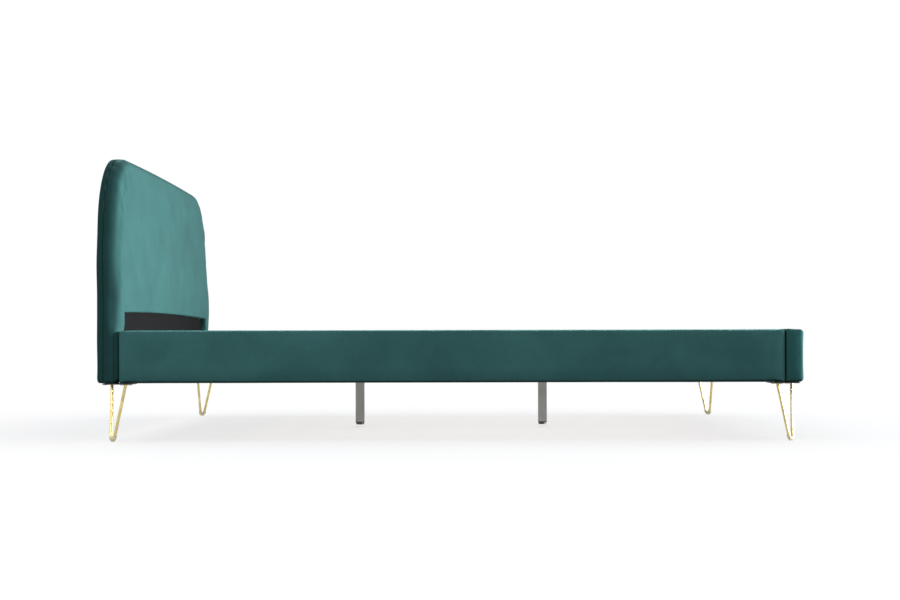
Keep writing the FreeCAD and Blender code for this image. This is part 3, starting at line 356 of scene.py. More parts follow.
ALONG_X = (0.06, 1, 1)
ALONG_Y = (1, 0.06, 1)
FINISHES = {
    "velvet": make_velvet("velvet", shade=0.25),
    "padding": make_foam(),
    "black_cloth": make_dust_cloth(),
    "pine": make_timber("pine", (0.6, 0.4, 0.21), (0.42, 0.25, 0.11), ALONG_Y),
    "plywood": make_timber("plywood", (0.5, 0.34, 0.19), (0.36, 0.22, 0.11), ALONG_X, ply=True),
    "birch": make_timber("birch", (0.5, 0.365, 0.21), (0.38, 0.26, 0.14), ALONG_Y, lacquer=0.3),
    "black_plastic": make_black_plastic(),
    "zinc_steel": make_zinc(),
    "black_steel": make_powder_coat("black_steel", (0.018, 0.018, 0.019), 0.45),
    "grey_steel": make_powder_coat("grey_steel", (0.215, 0.215, 0.21), 0.42,
                                   corner_shade=0.75),
    "brass_rod": make_brass(),
    "clear_plastic": make_clear_plastic(),
}
# Copies of the velvet with painted shade on the faces turned away from the key lamp; the foot rail's
# copy also has its dye brightened as painted light.
HEADBOARD_SHADED_VELVET = make_velvet("headboard_velvet_painted_shade", side_shade_strength=0.68, recess=True)
BACK_SHADED_VELVET = make_velvet("back_velvet_painted_shade", side_shade_strength=0.68)
FOOT_LIT_SHADED_VELVET = make_velvet("foot_velvet_painted_light_and_shade", side_shade_strength=0.38, shade=0.25, side_shade_from=0.1, painted_tone=1.13)

NODE_SLOT = {part["node"]: part["material_slot"] for part in frame["record"]["subparts"]}
# Width in millimetres of the softened edges, and the angle from which an edge counts as sharp.
CUT_EDGE = {"slats_left": 1.2, "slats_right": 1.2, "slat_side_caps": 1.5, "slat_centre_caps": 1.5,
            "slat_ledge_left": 1.5, "slat_ledge_right": 1.5, "centre_beam": 2.0,
            "support_leg_head": 3.0, "support_leg_foot": 3.0, "support_leg_plug_head": 1.0,
            "support_leg_plug_foot": 1.0, "levelling_pad_head": 1.2, "levelling_pad_foot": 1.2}
METAL_EDGE = 0.6
SHARP_EDGE = math.radians(40)


def dress_cad_nodes():
    """Give every CAD node its finish, and soften the sharp edges that show."""
    for name, obj in frame["nodes"].items():
        obj.data.materials.clear()
        obj.data.materials.append(FINISHES[NODE_SLOT[name]])
        metal = NODE_SLOT[name] in ("black_steel", "brass_rod")
        width = CUT_EDGE.get(name, METAL_EDGE if metal else 0)
        if width and not name.startswith("hairpin_leg"):
            bevel = obj.modifiers.new("softened_edges", "BEVEL")
            bevel.width = width * MM
            bevel.segments = 3
            bevel.limit_method = "ANGLE"
            bevel.angle_limit = SHARP_EDGE


# --------------------------------------------------
# Mesh helpers
# --------------------------------------------------

def make_piece(name, points, faces, slot):
    """A piece made of points and faces; see place_mesh."""
    mesh = bpy.data.meshes.new(name)
    mesh.from_pydata([tuple(point) for point in points], [], [tuple(face) for face in faces])
    mesh.validate()
    return place_mesh(name, mesh, slot)


def place_mesh(name, mesh, slot):
    """A smooth piece that rides on the bed frame and takes its finish from a slot."""
    mesh.materials.append(FINISHES[slot])
    mesh.polygons.foreach_set("use_smooth", [True] * len(mesh.polygons))
    piece = bpy.data.objects.new(name, mesh)
    bpy.context.scene.collection.objects.link(piece)
    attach(piece, BODY)
    return piece


def read_points(piece):
    """The piece's vertices as an array of rows."""
    points = np.empty(len(piece.data.vertices) * 3)
    piece.data.vertices.foreach_get("co", points)
    return points.reshape(-1, 3)


def write_points(piece, points):
    """Puts the vertices back where the rows say."""
    piece.data.vertices.foreach_set("co", np.ascontiguousarray(points, dtype=np.float64).ravel())
    piece.data.update()


def smooth_step(low, high, value):
    """Eased 0 to 1 as the value goes from low to high, which may be the smaller."""
    t = np.clip((np.asarray(value, dtype=float) - low) / (high - low), 0, 1)
    return t * t * (3 - 2 * t)


def wander(points, scale, seed):
    """Smooth noise from -1 to 1 at every point; scale counts waves per metre."""
    shift = Vector((seed * 17.3, seed * 5.1, seed * 9.7))
    return np.array([noise.noise(Vector(point) * scale + shift) for point in points])


SWELL_STEPS = 18


def swell(piece, pinned, pressure, slack, limit, loose=None):
    """Cloth simulation: the cover is blown out against its pinned edges, then capped.

    limit is how far a point may move, times loose where that is given for each point.
    """
    start = read_points(piece)
    group = piece.vertex_groups.new(name="pinned")
    group.add([int(index) for index in np.nonzero(pinned)[0]], 1.0, "REPLACE")
    cloth = piece.modifiers.new("swell", "CLOTH")
    settings = cloth.settings
    settings.quality = 4
    settings.mass = 0.25
    settings.tension_stiffness = 18
    settings.compression_stiffness = 12
    settings.shear_stiffness = 6
    settings.bending_stiffness = 0.8
    settings.use_pressure = True
    settings.uniform_pressure_force = pressure
    settings.shrink_min = -slack
    settings.vertex_group_mass = "pinned"
    settings.effector_weights.gravity = 0
    cloth.collision_settings.use_collision = False
    cloth.collision_settings.use_self_collision = False
    cloth.point_cache.frame_end = SWELL_STEPS
    scene = bpy.context.scene
    for step in range(1, SWELL_STEPS + 1):
        scene.frame_set(step)
    solved = piece.evaluated_get(bpy.context.evaluated_depsgraph_get())
    blown = np.empty(len(start) * 3)
    solved.data.vertices.foreach_get("co", blown)
    piece.modifiers.remove(cloth)
    piece.vertex_groups.remove(group)
    scene.frame_set(1)
    move = blown.reshape(-1, 3) - start
    length = np.linalg.norm(move, axis=1, keepdims=True)
    allowed = limit if loose is None else limit * loose[:, None]
    move *= np.minimum(1, allowed / np.maximum(length, 1e-9))
    write_points(piece, start + move)


def round_off(piece):
    """One subdivision, the same on screen and in renders."""
    smooth = piece.modifiers.new("round_off", "SUBSURF")
    smooth.levels = 1
    smooth.render_levels = 1


# --------------------------------------------------
# Headboard
# --------------------------------------------------

cover_low, cover_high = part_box("headboard_cover")
back_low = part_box("headboard_back_cover")[0]
panel_low, panel_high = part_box("headboard_lower_panel")
rail_low, rail_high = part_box("side_rail_cover_left")
HALF_WIDTH = cover_high[1]
TOP = cover_high[2]
UNDERSIDE = cover_low[2]
FRONT = cover_high[0]
SEAM = cover_low[0]
BACK = back_low[0]
RAIL_INNER = rail_low[1]
# The outline is straight up to the shoulder, then three arcs on each side, as in the CAD part.
SHOULDER = 0.368
SIDE_RADIUS = 1.49
CORNER_RADIUS = 0.205
CROWN_RADIUS = 36.0
# How far the edges roll over, front and back, and how far from the seam the covers are pinned.
FRONT_ROLL = 0.025
BACK_ROLL = 0.008
SEAM_BAND = 0.004
# Size of the mesh's cells.
STEP = 0.010
BACK_EDGE_STEP = 0.013
BACK_FACE_STEP = 0.016
CORNER_POINTS = 7


def sample_arc(centre, radius, start, end):
    """Points along an arc in the Y-Z plane, both ends included."""
    count = max(3, math.ceil(abs(end - start) * radius / STEP))
    angles = np.linspace(start, end, count + 1)
    return [(centre[0] + radius * math.cos(a), centre[1] + radius * math.sin(a)) for a in angles]


def outline(inset):
    """Headboard outline from the bottom corner at +Y, over the top, to the one at -Y."""
    half = HALF_WIDTH - inset
    side = SIDE_RADIUS - inset
    corner = CORNER_RADIUS - inset
    crown = CROWN_RADIUS - inset
    side_centre = (half - side, SHOULDER)
    crown_centre = (0, TOP - CROWN_RADIUS)
    reach_side = side - corner
    reach_crown = crown - corner
    span = math.hypot(side_centre[0], side_centre[1] - crown_centre[1])
    bearing = math.atan2(side_centre[1] - crown_centre[1], side_centre[0])
    swing = math.acos((reach_crown ** 2 + span ** 2 - reach_side ** 2) / (2 * reach_crown * span))
    top_angle = bearing - swing
    corner_centre = (reach_crown * math.cos(top_angle),
                     crown_centre[1] + reach_crown * math.sin(top_angle))
    side_angle = math.atan2(corner_centre[1] - side_centre[1], corner_centre[0] - side_centre[0])
    half_outline = sample_arc(side_centre, side, 0, side_angle)
    half_outline += sample_arc(corner_centre, corner, side_angle, top_angle)[1:]
    half_outline += sample_arc(crown_centre, crown, top_angle, math.pi / 2)[1:]
    return half_outline + [(-y, z) for y, z in reversed(half_outline[:-1])]


def trace(corners, step=STEP):
    """Closed loop through corners (y, z, radius), rounded at each radius and evenly divided."""
    loop = []
    count = len(corners)
    for index, (y, z, radius) in enumerate(corners):
        here = np.array((y, z))
        before = np.array(corners[index - 1][:2])
        after = np.array(corners[(index + 1) % count][:2])
        if not radius:
            loop.append(here)
            continue
        into = (before - here) / np.linalg.norm(before - here)
        out = (after - here) / np.linalg.norm(after - here)
        turn = math.acos(np.clip(into @ out, -1, 1)) / 2
        centre = here + (into + out) / np.linalg.norm(into + out) * radius / math.sin(turn)
        first = here + into * radius / math.tan(turn) - centre
        last = here + out * radius / math.tan(turn) - centre
        for share in np.linspace(0, 1, CORNER_POINTS):
            spoke = first * (1 - share) + last * share
            loop.append(centre + spoke / np.linalg.norm(spoke) * radius)
    dense = []
    for index, point in enumerate(loop):
        after = loop[(index + 1) % len(loop)]
        pieces = max(1, round(float(np.linalg.norm(after - point)) / step))
        dense += [point + (after - point) * part / pieces for part in range(pieces)]
    return np.array(dense)


def loop_normals(loop, square_below):
    """Unit normals out of a counter-clockwise loop, squared up at its corners below a height."""
    ahead = np.roll(loop, -1, axis=0) - loop
    ahead /= np.linalg.norm(ahead, axis=1, keepdims=True)
    both = ahead + np.roll(ahead, 1, axis=0)
    both /= np.linalg.norm(both, axis=1, keepdims=True)
    normals = np.stack([both[:, 1], -both[:, 0]], axis=1)
    squared = np.sign(normals) * np.abs(normals) ** 0.3
    return np.where((loop[:, 1] < square_below)[:, None], squared, normals)


def fill_loop(loop, step):
    """Even triangles inside a loop: (points, faces), the loop's own points first."""
    low, high = loop.min(axis=0), loop.max(axis=0)
    lattice = []
    row_height = step * math.sqrt(3) / 2
    for row, z in enumerate(np.arange(low[1], high[1], row_height)):
        shift = step / 2 if row % 2 else 0
        lattice += [(y, z) for y in np.arange(low[0] + shift, high[0], step)]
    lattice = np.array(lattice)
    ahead = np.roll(loop, -1, axis=0)
    inside = np.zeros(len(lattice), dtype=bool)
    nearest = np.full(len(lattice), 1e9)
    for start, end in zip(loop, ahead):
        crosses = (start[1] > lattice[:, 1]) != (end[1] > lattice[:, 1])
        if start[1] != end[1]:
            cut = start[0] + (lattice[:, 1] - start[1]) / (end[1] - start[1]) * (end[0] - start[0])
            inside ^= crosses & (lattice[:, 0] < cut)
        nearest = np.minimum(nearest, np.hypot(*(lattice - start).T))
    lattice = lattice[inside & (nearest > 0.7 * step)]
    given = [Vector(point) for point in np.vstack([loop, lattice])]
    _, _, faces, origins, _, _ = delaunay_2d_cdt(given, [], [list(range(len(loop)))], 1, 1e-7)
    renumber = {index: origin[0] for index, origin in enumerate(origins) if origin}
    faces = [[renumber[corner] for corner in face] for face in faces]
    return np.array([tuple(point) for point in given]), faces


# The covers' bottom corners are square up to this height above the hem.
SQUARE_HEM = 0.004


def make_shell(name, loop, face_x, rings, towards, step):
    """A flat velvet face inside a loop, and rings that roll off its edge and run back.

    Each ring is (offset across and up per loop point, depth per loop point); towards is +1 if the
    face looks along +X.
    """
    flat, faces = fill_loop(loop, step)
    normals = loop_normals(loop, loop[:, 1].min() + SQUARE_HEM)
    points = [(face_x, y, z) for y, z in flat]
    previous = list(range(len(loop)))
    count = len(loop)
    for offset, depth in rings:
        spots = loop + normals * offset
        start = len(points)
        points += [(face_x - towards * d, y, z) for (y, z), d in zip(spots, np.asarray(depth))]
        current = list(range(start, start + count))
        for index in range(count):
            after = (index + 1) % count
            faces.append([previous[index], current[index], current[after], previous[after]])
        previous = current
    if towards < 0:
        faces = [face[::-1] for face in faces]
    return make_piece(name, points, faces, "velvet")


# The recess: a black panel with a bowed top, and lower pockets beside it, out to the side rails.
PANEL_HALF = 0.710
PANEL_TOP = 0.402
PANEL_BOW = 0.007
POCKET_TOP = 0.325
POCKET_EDGE = RAIL_INNER + 0.0005
RECESS_ROLL = 0.004


def panel_height(y):
    """Top edge of the recessed panel, bowed up in the middle."""
    return PANEL_TOP - PANEL_BOW * (y / PANEL_HALF) ** 2


# How far the padded top leans back and stands up over the frame, and between which heights.
LEAN = 0.0055
LEAN_FROM, LEAN_TO = 0.42, 0.62
LIFT = 0.004
LIFT_FROM, LIFT_TO = 0.68, 0.86


def settle_headboard(points):
    """Leans the top back and lifts it, on points already in place."""
    points[:, 0] -= LEAN * smooth_step(LEAN_FROM, LEAN_TO, points[:, 2])
    points[:, 2] += LIFT * smooth_step(LIFT_FROM, LIFT_TO, points[:, 2])


def front_loop(low):
    """Edge of the front cover's flat face: over the top, and round the recess below."""
    margin = RECESS_ROLL
    hem, step_corner, panel_corner = 0.0025, 0.006, 0.008
    pocket = POCKET_EDGE + margin
    narrow = PANEL_HALF + margin
    shoulder = panel_height(PANEL_HALF) + margin
    bow = [(y, panel_height(y) + margin, 0) for y in np.linspace(-0.68, 0.68, 100)]
    return trace([
        (HALF_WIDTH - FRONT_ROLL, low, hem),
        *[(y, z, 0) for y, z in outline(FRONT_ROLL)[1:-1]],
        (-HALF_WIDTH + FRONT_ROLL, low, hem),
        (-pocket, low, hem),
        (-pocket, POCKET_TOP + margin, step_corner),
        (-narrow, POCKET_TOP + margin, step_corner),
        (-narrow, shoulder, panel_corner),
        *bow,
        (narrow, shoulder, panel_corner),
        (narrow, POCKET_TOP + margin, step_corner),
        (pocket, POCKET_TOP + margin, step_corner),
        (pocket, low, hem)])


def front_rings(loop, low):
    """Rings that roll off the front face and run back to the seam, or to the recess's floor.

    Round the recess the roll is small and stops at the panel; elsewhere it is full and runs to the
    seam.
    """
    margin = RECESS_ROLL
    half, height = np.abs(loop[:, 0]), loop[:, 1]
    recess = (half < POCKET_EDGE + margin + 0.003) & (height < PANEL_TOP + 0.03)
    at_foot = height < low + 0.006
    reach = np.stack([np.where(recess, margin, FRONT_ROLL),
                      np.where(recess & ~at_foot, margin, FRONT_ROLL)], axis=1)
    roll = np.where(recess, margin, FRONT_ROLL)
    pocket_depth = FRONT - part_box("headboard_face_board")[1][0] - 0.0005
    in_pocket = half > PANEL_HALF + margin + 0.015
    recess_depth = np.where(in_pocket, pocket_depth, FRONT - panel_low[0])
    end_depth = np.where(recess, recess_depth, FRONT - SEAM)
    tuck = np.where(recess, 0, 0.004)[:, None]
    rings = [(reach * math.sin(angle), roll * (1 - math.cos(angle)))
             for angle in np.radians((18, 36, 54, 72, 90))]
    rings += [(reach, roll + (end_depth - roll) * share) for share in (0.4, 0.8)]
    rings.append((reach - tuck * 0.2, end_depth - 0.0012))
    rings.append((reach - tuck, end_depth - 0.0002))
    return rings


def make_headboard_front():
    """Front cover: padded face over the top and both wings, rolled into the recess below."""
    low = UNDERSIDE + FRONT_ROLL
    loop = front_loop(low)
    cover = make_shell("headboard_front_cover", loop, FRONT, front_rings(loop, low), 1, STEP)
    cover.data.materials[0] = HEADBOARD_SHADED_VELVET
    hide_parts("headboard_cover", "headboard_foam")

    points = read_points(cover)
    pinned = points[:, 0] < SEAM + SEAM_BAND
    in_recess = (np.abs(points[:, 1]) < PANEL_HALF + 0.002) & (points[:, 2] < PANEL_TOP + 0.002)
    pinned |= in_recess & (points[:, 0] < panel_low[0] + 0.003)
    behind_rail = smooth_step(rail_high[2] + 0.02, rail_high[2] - 0.005, points[:, 2])
    on_side = smooth_step(FRONT - 0.012, FRONT - 0.024, points[:, 0])
    by_recess = smooth_step(PANEL_HALF + 0.09, PANEL_HALF + 0.03, np.abs(points[:, 1]))
    by_recess *= smooth_step(PANEL_TOP + 0.09, PANEL_TOP + 0.03, points[:, 2])
    loose = (1 - 0.9 * behind_rail) * (1 - 0.8 * on_side) * (1 - 0.7 * by_recess)
    swell(cover, pinned, pressure=2.0, slack=0.0, limit=0.006, loose=loose)

    points = read_points(cover)
    shape_headboard_front(points)
    settle_headboard(points)
    write_points(cover, points)
    round_off(cover)


# How far the padding stands forward round the recess, and how deep the face's soft waves are.
RECESS_PADDING = 0.0028
FACE_WAVES = 0.0012
# Gathers on the top corners: (direction in degrees, depth in millimetres, width in degrees).
GATHERS = ((12, 1.5, 2.9), (27, 2.3, 2.7), (41, 1.8, 3.0), (55, 2.4, 2.7), (72, 1.6, 3.0))


def shape_headboard_front(points):
    """Slack and pull of the cover that the simulation leaves out: soft waves and corner puckers."""
    on_face = smooth_step(FRONT - 0.012, FRONT - 0.002, points[:, 0])
    above_rail = smooth_step(0.36, 0.44, points[:, 2])
    points[:, 0] += on_face * FACE_WAVES * wander(points, 6, 1) * above_rail
    over_rail = smooth_step(rail_high[2], rail_high[2] + 0.02, points[:, 2])
    below_middle = smooth_step(0.55, 0.42, points[:, 2])
    to_front = smooth_step(panel_high[0], FRONT, points[:, 0])
    points[:, 0] += RECESS_PADDING * to_front * over_rail * below_middle
    # Short gathers where the cover turns the top corners, running forward from the seam.
    side_band = smooth_step(FRONT - 0.006, FRONT - 0.022, points[:, 0])
    corner_y = HALF_WIDTH - 0.045 - CORNER_RADIUS
    corner_z = TOP - CORNER_RADIUS
    across = np.abs(points[:, 1]) - corner_y
    up = points[:, 2] - corner_z
    angle = np.degrees(np.arctan2(up, across))
    gathers = np.zeros(len(points))
    for centre, depth, width in GATHERS:
        gathers += depth * np.exp(-((angle - centre) / width) ** 2)
    radius = np.hypot(across, up)
    pull = gathers * side_band * MM
    points[:, 1] -= np.sign(points[:, 1]) * pull * across / np.maximum(radius, 1e-6)
    points[:, 2] -= pull * up / np.maximum(radius, 1e-6)


def make_headboard_back():
    """Back cover: a flat panel whose edge wraps round to the side seam."""
    roll = BACK_ROLL
    low = UNDERSIDE + roll
    bottom_corner = 0.01
    loop = trace([(HALF_WIDTH - roll, low, bottom_corner),
                  *[(y, z, 0) for y, z in outline(roll)[1:-1]],
                  (-HALF_WIDTH + roll, low, bottom_corner)], BACK_EDGE_STEP)
    depth = SEAM - BACK
    steps = [(roll * math.sin(angle), roll * (1 - math.cos(angle)))
             for angle in np.radians((22, 45, 67, 90))]
    steps += [(roll, roll + (depth - roll) * 0.5), (roll - 0.0003, depth - 0.0009),
              (roll - 0.0045, depth - 0.0003)]
    rings = [(offset, np.full(len(loop), back)) for offset, back in steps]
    cover = make_shell("headboard_back_panel", loop, BACK, rings, -1, BACK_FACE_STEP)
    cover.data.materials[0] = BACK_SHADED_VELVET
    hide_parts("headboard_back_cover")
    points = read_points(cover)
    pinned = points[:, 0] > SEAM - SEAM_BAND
    swell(cover, pinned, pressure=1.0, slack=0.001, limit=0.0015)
    points = read_points(cover)
    back_edge = smooth_step(SEAM - 0.002, SEAM - 0.014, points[:, 0])
    points[:, 0] += back_edge * 0.0016 * wander(points, 9, 5)
    settle_headboard(points)
    write_points(cover, points)
    round_off(cover)


# How far the panel's cloth runs on behind the front cover, sideways and upwards.
TUCK_SIDE = 0.001
TUCK_UP = 0.0015
PANEL_COLUMNS = 142
PANEL_ROWS = 26


def make_lower_panel():
    """Black cloth stapled in the recess, with a cut-out for the beam bracket."""
    # Just inside the panel's CAD face, and just proud of the face board.
    face = panel_high[0] - 0.0004
    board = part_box("headboard_face_board")[1][0] + 0.0006
    saddle_low, saddle_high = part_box("beam_bracket_head")
    edge = PANEL_HALF + TUCK_SIDE
    outer = POCKET_EDGE + TUCK_SIDE
    columns = sorted(set(np.round(np.concatenate([
        np.linspace(-outer, -edge - 0.004, 6),
        np.linspace(-edge, edge, PANEL_COLUMNS),
        np.linspace(edge + 0.004, outer, 6),
        [saddle_low[1] - 0.001, saddle_high[1] + 0.001]]), 5)))
    low = UNDERSIDE + 0.002
    grid = {}
    points = []
    faces = []
    for column, y in enumerate(columns):
        top = (panel_height(y) if abs(y) <= edge + 1e-6 else POCKET_TOP) + TUCK_UP
        step_back = float(smooth_step(edge - 0.006, edge + 0.004, abs(y)))
        for row in range(PANEL_ROWS + 1):
            z = low + (top - low) * row / PANEL_ROWS
            ripple = 0.0009 * noise.noise(Vector((y * 9, z * 22, 3)))
            ripple += 0.0004 * noise.noise(Vector((y * 60, z * 30, 8)))
            x = face * (1 - step_back) + board * step_back + ripple * (1 - step_back)
            grid[column, row] = len(points)
            points.append((x, y, z))
    for column in range(len(columns) - 1):
        middle = (columns[column] + columns[column + 1]) / 2
        for row in range(PANEL_ROWS):
            corners = [grid[column, row], grid[column + 1, row],
                       grid[column + 1, row + 1], grid[column, row + 1]]
            height = sum(points[corner][2] for corner in corners) / 4
            beside = saddle_low[1] < middle < saddle_high[1]
            if beside and saddle_low[2] - 0.002 < height < saddle_high[2] + 0.002:
                continue
            faces.append(corners)
    panel = make_piece("lower_panel_cloth", points, faces, "black_cloth")
    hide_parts("headboard_lower_panel")


# --------------------------------------------------
# Rails
# --------------------------------------------------

# Size of the mesh's cells, and how far the edges of the rails roll over.
RAIL_STEP = 0.011
SIDE_ROLL = 0.0085
FOOT_ROLL = 0.011
# How far the padding crowns the rails' outer faces and tops, and rounds off the side rails' ends.
CROWN_SIDE = 0.0022
CROWN_FOOT = 0.0035
END_INWARD = 0.004
END_DOWNWARD = 0.003


def axis_marks(low, high, roll):
    """Grid marks along one edge of a rolled box, closer where the edge rolls over."""
    near = [roll * (1 - math.tan(math.radians(angle))) for angle in (45, 30, 15)]
    count = max(1, round((high - low - 2 * roll) / RAIL_STEP))
    return np.concatenate([[low + mark for mark in near],
                           np.linspace(low + roll, high - roll, count + 1),
                           [high - mark for mark in reversed(near)]])


def make_rolled_box(name, low, high, roll):
    """Closed velvet box with rolled edges and an even grid on every side."""
    low, high = np.array(low), np.array(high)
    marks = [axis_marks(low[axis], high[axis], roll) for axis in range(3)]
    points = []
    faces = []
    for axis in range(3):
        first, second = (axis + 1) % 3, (axis + 2) % 3
        for side, level in ((0, low[axis]), (1, high[axis])):
            start = len(points)
            for a in marks[first]:
                for b in marks[second]:
                    spot = [0.0, 0.0, 0.0]
                    spot[axis], spot[first], spot[second] = level, a, b
                    points.append(spot)
            width = len(marks[second])
            for i in range(len(marks[first]) - 1):
                for j in range(width - 1):
                    corner = start + i * width + j
                    face = [corner, corner + width, corner + width + 1, corner + 1]
                    faces.append(face if side else face[::-1])
    points = np.array(points)
    core = np.clip(points, low + roll, high - roll)
    outward = points - core
    points = core + outward / np.linalg.norm(outward, axis=1, keepdims=True) * roll
    piece = make_piece(name, points, faces, "velvet")
    mesh = bmesh.new()
    mesh.from_mesh(piece.data)
    bmesh.ops.remove_doubles(mesh, verts=mesh.verts, dist=1e-5)
    mesh.to_mesh(piece.data)
    mesh.free()
    return piece


def make_side_rail(side_name, side):
    """Padded side rail cover; its inner face is stapled flat to the board."""
    low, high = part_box(f"side_rail_cover_{side_name}")
    inner = low[1] if side > 0 else high[1]
    cover = make_rolled_box(f"side_rail_velvet_{side_name}", low, high, SIDE_ROLL)
    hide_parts(f"side_rail_cover_{side_name}", f"side_rail_foam_{side_name}")
    points = read_points(cover)
    pinned = (points[:, 1] - inner) * side < 0.0075
    ends = np.minimum(points[:, 0] - low[0], high[0] - points[:, 0])
    loose = 0.25 + 0.75 * smooth_step(0.002, 0.03, ends)
    swell(cover, pinned, pressure=2.0, slack=0.001, limit=0.0025, loose=loose)
    points = read_points(cover)
    from_inner = (points[:, 1] - inner) * side
    outside = smooth_step(0.01, 0.03, from_inner)
    upper = smooth_step(low[2] + 0.1, high[2], points[:, 2])
    points[:, 2] += outside * 0.0009 * wander(points, 5, 11 + side) * upper
    points[:, 1] += side * outside * 0.0008 * wander(points, 9, 21 + side)
    to_top = smooth_step(low[2] + 0.1, high[2] - 0.006, points[:, 2])
    points[:, 2] += CROWN_SIDE * to_top
    by_end = np.maximum(smooth_step(0.014, 0.0, points[:, 0] - low[0]),
                        0.5 * smooth_step(0.009, 0.0, high[0] - points[:, 0]))
    to_top = smooth_step(low[2] + 0.1, high[2] - 0.006, points[:, 2])
    points[:, 1] -= side * END_INWARD * outside * by_end
    points[:, 2] -= END_DOWNWARD * by_end * to_top
    write_points(cover, points)
    round_off(cover)


def make_foot_rail():
    """Padded foot rail cover; its inner face is stapled flat to the board."""
    low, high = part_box("foot_rail_cover")
    cover = make_rolled_box("foot_rail_velvet", low, high, FOOT_ROLL)
    cover.data.materials[0] = FOOT_LIT_SHADED_VELVET
    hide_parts("foot_rail_cover", "foot_rail_foam")
    points = read_points(cover)
    pinned = points[:, 0] < low[0] + 0.009
    swell(cover, pinned, pressure=2.0, slack=0.001, limit=0.0012)
    points = read_points(cover)
    outside = smooth_step(low[0] + 0.012, low[0] + 0.035, points[:, 0])
    upper = smooth_step(low[2] + 0.1, high[2], points[:, 2])
    points[:, 2] += outside * 0.0008 * wander(points, 6, 31) * upper
    points[:, 0] += outside * 0.0005 * wander(points, 8, 35)
    points[:, 0] += CROWN_FOOT * smooth_step(low[0] + 0.03, high[0] - 0.006, points[:, 0])
    write_points(cover, points)
    round_off(cover)


# The linings' grid, and how far the cloth keeps from its edges and stands off the board.
LINING_COLUMNS = 160
LINING_ROWS = 14
LINING_MARGIN = 0.0005
LINING_GAP = 0.0003


def make_lining(name, node, face_axis, face, towards):
    """Black cloth stapled over the inner face of a rail, drawn tight with small ripples."""
    low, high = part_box(node)
    along = 1 - face_axis
    margin = LINING_MARGIN
    columns = np.linspace(low[along] + margin, high[along] - margin, LINING_COLUMNS)
    rows = np.linspace(low[2] + margin, high[2] - margin, LINING_ROWS)
    points = []
    faces = []
    for a in columns:
        for z in rows:
            edge = min(z - rows[0], rows[-1] - z) / (rows[-1] - rows[0])
            ripple = 0.0005 * noise.noise(Vector((a * 14, z * 25, face * 3))) * min(1, edge * 6)
            point = [0.0, 0.0, z]
            point[face_axis] = face + towards * (LINING_GAP + ripple)
            point[along] = a
            points.append(point)
    width = len(rows)
    for i in range(len(columns) - 1):
        for j in range(width - 1):
            corner = i * width + j
            faces.append([corner, corner + width, corner + width + 1, corner + 1])
    piece = make_piece(name, points, faces, "black_cloth")
    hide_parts(node)


# --------------------------------------------------
# Hairpin legs: weld beads under the plates, clear shoes over the toes
# --------------------------------------------------

# Radius of the ring that a weld bead follows, and of the bead itself.
BEAD_RING = 0.0058
BEAD_THICKNESS = 0.0019
SHOE_HEIGHT = 0.0175
SHOE_WALL = 0.0016


def rod_tops(node):
    """Centres of the two rod ends just under the plate, from the rod's own mesh."""
    points = read_points(frame["nodes"][node])
    top = points[points[:, 2] > points[:, 2].max() - 0.002]
    spread = top[:, 0] - top[:, 1] * np.sign(top[:, 0].mean() * top[:, 1].mean())
    middle = (spread.min() + spread.max()) / 2
    return [top[spread < middle].mean(axis=0), top[spread >= middle].mean(axis=0)]


def make_weld_bead(name, centre, seed):
    """A lumpy ring of weld where a rod meets its plate."""
    points = []
    faces = []
    around, section = 28, 10
    for i in range(around):
        a = 2 * math.pi * i / around
        lump = 1 + 0.25 * noise.noise(Vector((3 * math.cos(a), 3 * math.sin(a), seed)))
        for j in range(section):
            b = 2 * math.pi * j / section
            radius = BEAD_RING + BEAD_THICKNESS * lump * math.cos(b)
            height = -BEAD_THICKNESS * 0.4 + BEAD_THICKNESS * lump * math.sin(b)
            points.append((centre[0] + radius * math.cos(a), centre[1] + radius * math.sin(a),
                           centre[2] + min(height, 0)))
    for i in range(around):
        for j in range(section):
            after_i, after_j = (i + 1) % around, (j + 1) % section
            faces.append([i * section + j, after_i * section + j,
                          after_i * section + after_j, i * section + after_j])
    make_piece(name, points, faces, "brass_rod")


def make_shoe(place):
    """Clear shoe: the toe of the rod itself, thickened, flattened on the floor, trimmed level."""
    rod = frame["nodes"][f"hairpin_leg_{place}"]
    mesh = bmesh.new()
    mesh.from_mesh(rod.data)
    bmesh.ops.remove_doubles(mesh, verts=mesh.verts, dist=1e-6)
    bmesh.ops.bisect_plane(mesh, geom=mesh.verts[:] + mesh.edges[:] + mesh.faces[:], dist=1e-7,
                           plane_co=(0, 0, SHOE_HEIGHT), plane_no=(0, 0, 1), clear_outer=True)
    mesh.normal_update()
    for vertex in mesh.verts:
        vertex.co += vertex.normal * SHOE_WALL
    rims = [edge for edge in mesh.edges if edge.is_boundary]
    grown = bmesh.ops.extrude_edge_only(mesh, edges=rims)
    inner = [item for item in grown["geom"] if isinstance(item, bmesh.types.BMVert)]
    centres = split_centres([vertex.co.copy() for vertex in inner])
    for vertex in inner:
        centre = min(centres, key=lambda spot: (spot - vertex.co).length)
        away = vertex.co - centre
        vertex.co = centre + away * (1 - SHOE_WALL / away.length) + Vector((0, 0, 0.0006))
    for vertex in mesh.verts:
        vertex.co.z = max(vertex.co.z, 0.0)
    bmesh.ops.recalc_face_normals(mesh, faces=mesh.faces[:])
    data = bpy.data.meshes.new(f"floor_shoe_{place}")
    mesh.to_mesh(data)
    mesh.free()
    shoe = place_mesh(f"floor_shoe_{place}", data, "clear_plastic")
    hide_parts(f"floor_protector_{place}")


def split_centres(spots):
    """Middle of each of the two rims, which stand apart on the corner's diagonal."""
    middle = sum(spots, Vector()) / len(spots)
    far = max(spots, key=lambda spot: (spot - middle).length)
    axis = (far - middle).normalized()
    groups = [[spot for spot in spots if (spot - middle).dot(axis) * sign > 0] for sign in (1, -1)]
    return [sum(group, Vector()) / len(group) for group in groups]


# --------------------------------------------------
# Build everything
# --------------------------------------------------

